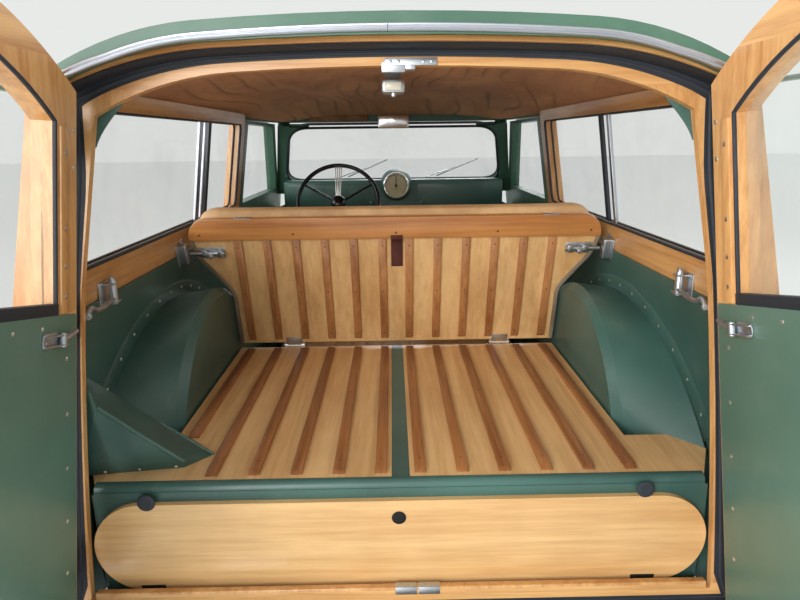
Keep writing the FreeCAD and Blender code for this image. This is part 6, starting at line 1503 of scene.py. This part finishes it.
def make_headlamp_faces():
    """Rim and lens of each headlamp, in front of its bowl: the lens is part of a ball, ribbed up and down."""
    rims, lenses = Form(), Form()
    ball, middle = 221.4, -180.0
    rim = ((-26, 96.6), (-20, 98.8), (-6, 99), (2, 97), (6, 92), (6, 86), (2, 83.6), (-4, 83.4))
    reach = np.linspace(84, 0.8, 12)
    lens = [(-8, 84)] + list(zip(middle + np.sqrt(ball ** 2 - reach ** 2), reach))
    for side in (-1, 1):
        spot = (side * LAMP_X, 2792.0, 744.0)
        rims.turned(spot, AHEAD, rim, 72)
        lenses.turned(spot, AHEAD, lens, 64)
        for x in np.arange(-66, 67, 12):
            tall = math.sqrt(74 ** 2 - x ** 2)
            z = np.linspace(-tall, tall, 14)
            out = middle + np.sqrt((ball + 0.4) ** 2 - z ** 2 - x ** 2)
            path = np.column_stack((np.full(14, spot[0] + x), spot[1] + out, spot[2] + z))
            lenses.strip(path, rounded(5, 1.6, 0.7, 1), AHEAD)
    rims.make("headlamp_rims", "body", "bumper_chrome", chrome)
    lenses.make("headlamp_lenses", "body", "window_glass", lens_glass)


def bonnet_ridge():
    """Points down the middle of the bonnet, found by dropping rays on it."""
    cast = bpy.context.evaluated_depsgraph_get()
    for y in np.linspace(1740, 2700, 26):
        spot = bpy.context.scene.ray_cast(cast, Vector(car(0, y, 1500)), Vector((0, 0, -1)))[1]
        yield 0, y, spot.z / MM


def make_front():
    """Bright surround of the grille, strip along the bonnet, side lamps, and a blank plate at each end."""
    bright, lamps, plates = Form(), Form(), Form()
    surround = divided(oblong(-258, 258, 488, 738, 22, 6), 4)
    bright.strip(at_depth(surround, 2739.5), rounded(15, 9, 4, 3), AHEAD, True)
    bright.strip(list(bonnet_ridge()), rounded(14, 5, 2, 2))
    for side in (-1, 1):
        spot = (side * LAMP_X, 2736.0, 610.0)
        bright.turned(spot, AHEAD, ((0, 34), (14, 33), (20, 29), (21, 26)), 32)
        lamps.turned(spot, AHEAD, ((14, 27), (24, 26), (32, 20), (37, 10), (38, 3)), 32)
    bright.make("front_brightwork", "body", "bumper_chrome", chrome)
    lamps.make("side_lamp_lenses", "body", "window_glass", lens_glass)
    slab(plates, oblong(-260, 260, 384, 494, 10, 4), 2845.5, 2849, "xz", 1.0)
    plates.screws([(x, 2849, 439) for x in (-236, 236)], AHEAD, 6, 2)
    slab(plates, oblong(-240, 240, 318, 420, 10, 4), -881.2, -884.2, "xz", 1.0)
    plates.screws([(x, -884, 369) for x in (-216, 216)], BEHIND, 6, 2)
    plates.make("blank_plates", "body", "body_green", plate_white)


def make_door_handle(name, side):
    """Handle and lock of a side door: a turned boss, a curved grip, and a key barrel."""
    form, face = Form(), float(body_side(912))
    boss = ((0, 16), (3, 16), (7, 12), (28, 9), (32, 10))
    form.turned((side * (face - 2), 764, 912), (side, 0, 0), boss, 24)
    grip = np.array(((face + 30, 752, 913), (face + 35, 790, 912),
                     (face + 34, 840, 910), (face + 27, 882, 908)))
    form.strip(smooth_path(grip * (side, 1, 1), 6), rounded(9, 16, 4, 3))
    form.turned((side * (face - 1), 772, 868), (side, 0, 0), ((0, 10), (3, 10), (6, 7), (6.5, 2)), 20)
    form.make(f"door_handle_{name}", f"door_{name}", "bumper_chrome", chrome)


def make_side_trim():
    """Rain rails under the roof, the fuel cap with its grip, and the tail lamps' rims."""
    rails, cap, bezels = Form(), Form(), Form(tail)
    y = np.linspace(-812, 1360, 60)
    half = np.interp(y, np.append(ROOF_ROWS[:-1, 0], 1372), np.append(ROOF_ROWS[:-1, 1], 560))
    half = np.maximum(half, float(body_side(1396))) + 5.5
    foot = tail_up(800)
    left = hinge_edge(foot) + 17.6
    outline = oblong(left, left + 42, foot - 4, foot + 154, 10, 5)
    for _, side in SIDES:
        rails.strip(np.column_stack((side * half, y, np.full(len(y), 1397.0))), rounded(16, 8, 3, 2))
        slab(bezels, outline * (side, 1), -7.0, 0.3, "xz", 2.0)
    wall, y, z, radius = float(body_side(820)), -700, 820, 37
    dome = ((0, radius), (4, 38), (12, 36), (17, 31), (18, 26), (20, 10))
    cap.turned((2 - wall, y, z), (-1, 0, 0), dome, 40)
    for angle in np.radians(np.arange(0, 360, 30)):
        spot = (-wall - 6, y + radius * math.cos(angle), z + radius * math.sin(angle))
        cap.turned(spot, (-1, 0, 0), ((0, 3.2), (6, 2.6)), 8)
    rails.make("rain_rails", "body", "body_green", body_green)
    cap.make("fuel_cap", "body", "bumper_chrome", chrome)
    bezels.make("tail_lamp_rims", "body", "bumper_chrome", chrome)


def make_foot_plate():
    """Green plate between the spare board and the tail sill."""
    form = Form()
    form.box((-598, -770, 434), (598, -738, 441), 1.0)
    form.make("tail_foot_plate", "body", "body_green", inner_green)


for end in ("front", "rear"):
    for name, side in SIDES:
        make_tyre(f"tyre_{end}_{name}", f"wheel_{end}_{name}")
        make_hub(f"wheel_{end}_{name}", f"wheel_{end}_{name}", side)
make_headlamp_faces()
make_front()
for name, side in SIDES:
    make_door_handle(name, side)
make_side_trim()
make_foot_plate()

# Floor, world and lamps

BACKDROP = srgb(232, 234, 232)
LAMPS = (
    # name, place, aim, size, watts
    ("key_behind", (-1.7, -5.0, 2.1), (0.2, -0.7, 0.8), 2.6, 170.0),
    ("fill_left", (-4.6, -2.0, 3.0), (0, 0, 0.8), 3.0, 110.0),
    ("fill_right", (4.6, 0.5, 3.2), (0, 0, 0.8), 3.0, 110.0),
    ("front_soft", (0.5, 5.5, 3.2), (0, 1.5, 0.8), 3.0, 130.0),
)


def make_floor(half=40.0):
    """Pale floor whose far edge is out of sight; the camera sees part of its colour as plain light."""
    mesh = bpy.data.meshes.new("floor")
    corners = [(-half, -half, 0), (half, -half, 0), (half, half, 0), (-half, half, 0)]
    mesh.from_pydata(corners, [], [(0, 1, 2, 3)])
    paint = Paint("floor_pale")
    mesh.materials.append(paint.finish(Base_Color=srgb(226, 226, 222), Roughness=0.9))
    glow = paint.node("ShaderNodeEmission", {}, {"Color": BACKDROP})
    both = {0: paint.ray("Camera") * 0.6, 1: paint.shader.outputs[0], 2: glow}
    surface = paint.tree.nodes["Material Output"].inputs["Surface"]
    paint.link(surface, paint.node("ShaderNodeMixShader", {}, both))
    linked("floor", mesh)


def make_world():
    """Even cool light, and a pale backdrop for what the camera sees, directly, in gloss or through glass."""
    world = bpy.data.worlds.new("studio")
    bpy.context.scene.world = world
    world.use_nodes = True
    nodes = Nodes(world.node_tree)
    light = nodes.tree.nodes["Background"]
    nodes.link(light.inputs["Color"], (0.93, 0.96, 1.0))
    nodes.link(light.inputs["Strength"], 0.72)
    shown = nodes.node("ShaderNodeBackground", {}, {"Color": BACKDROP, "Strength": 1.0})
    seen = nodes.ray("Glossy").most(nodes.ray("Transmission")).most(nodes.ray("Camera"))
    both = nodes.node("ShaderNodeMixShader", {}, {0: seen, 1: light.outputs[0], 2: shown})
    nodes.link(nodes.tree.nodes["World Output"].inputs["Surface"], both)


def make_lamps():
    """Soft round lamps, each aimed at a point on the car."""
    for name, spot, aim, size, power in LAMPS:
        data = bpy.data.lights.new(name, "AREA")
        data.shape, data.size, data.energy = "DISK", size, power
        lamp = linked(name, data)
        lamp.location = spot
        lamp.rotation_euler = (Vector(aim) - Vector(spot)).to_track_quat("-Z", "Y").to_euler()


make_floor()
make_world()
make_lamps()
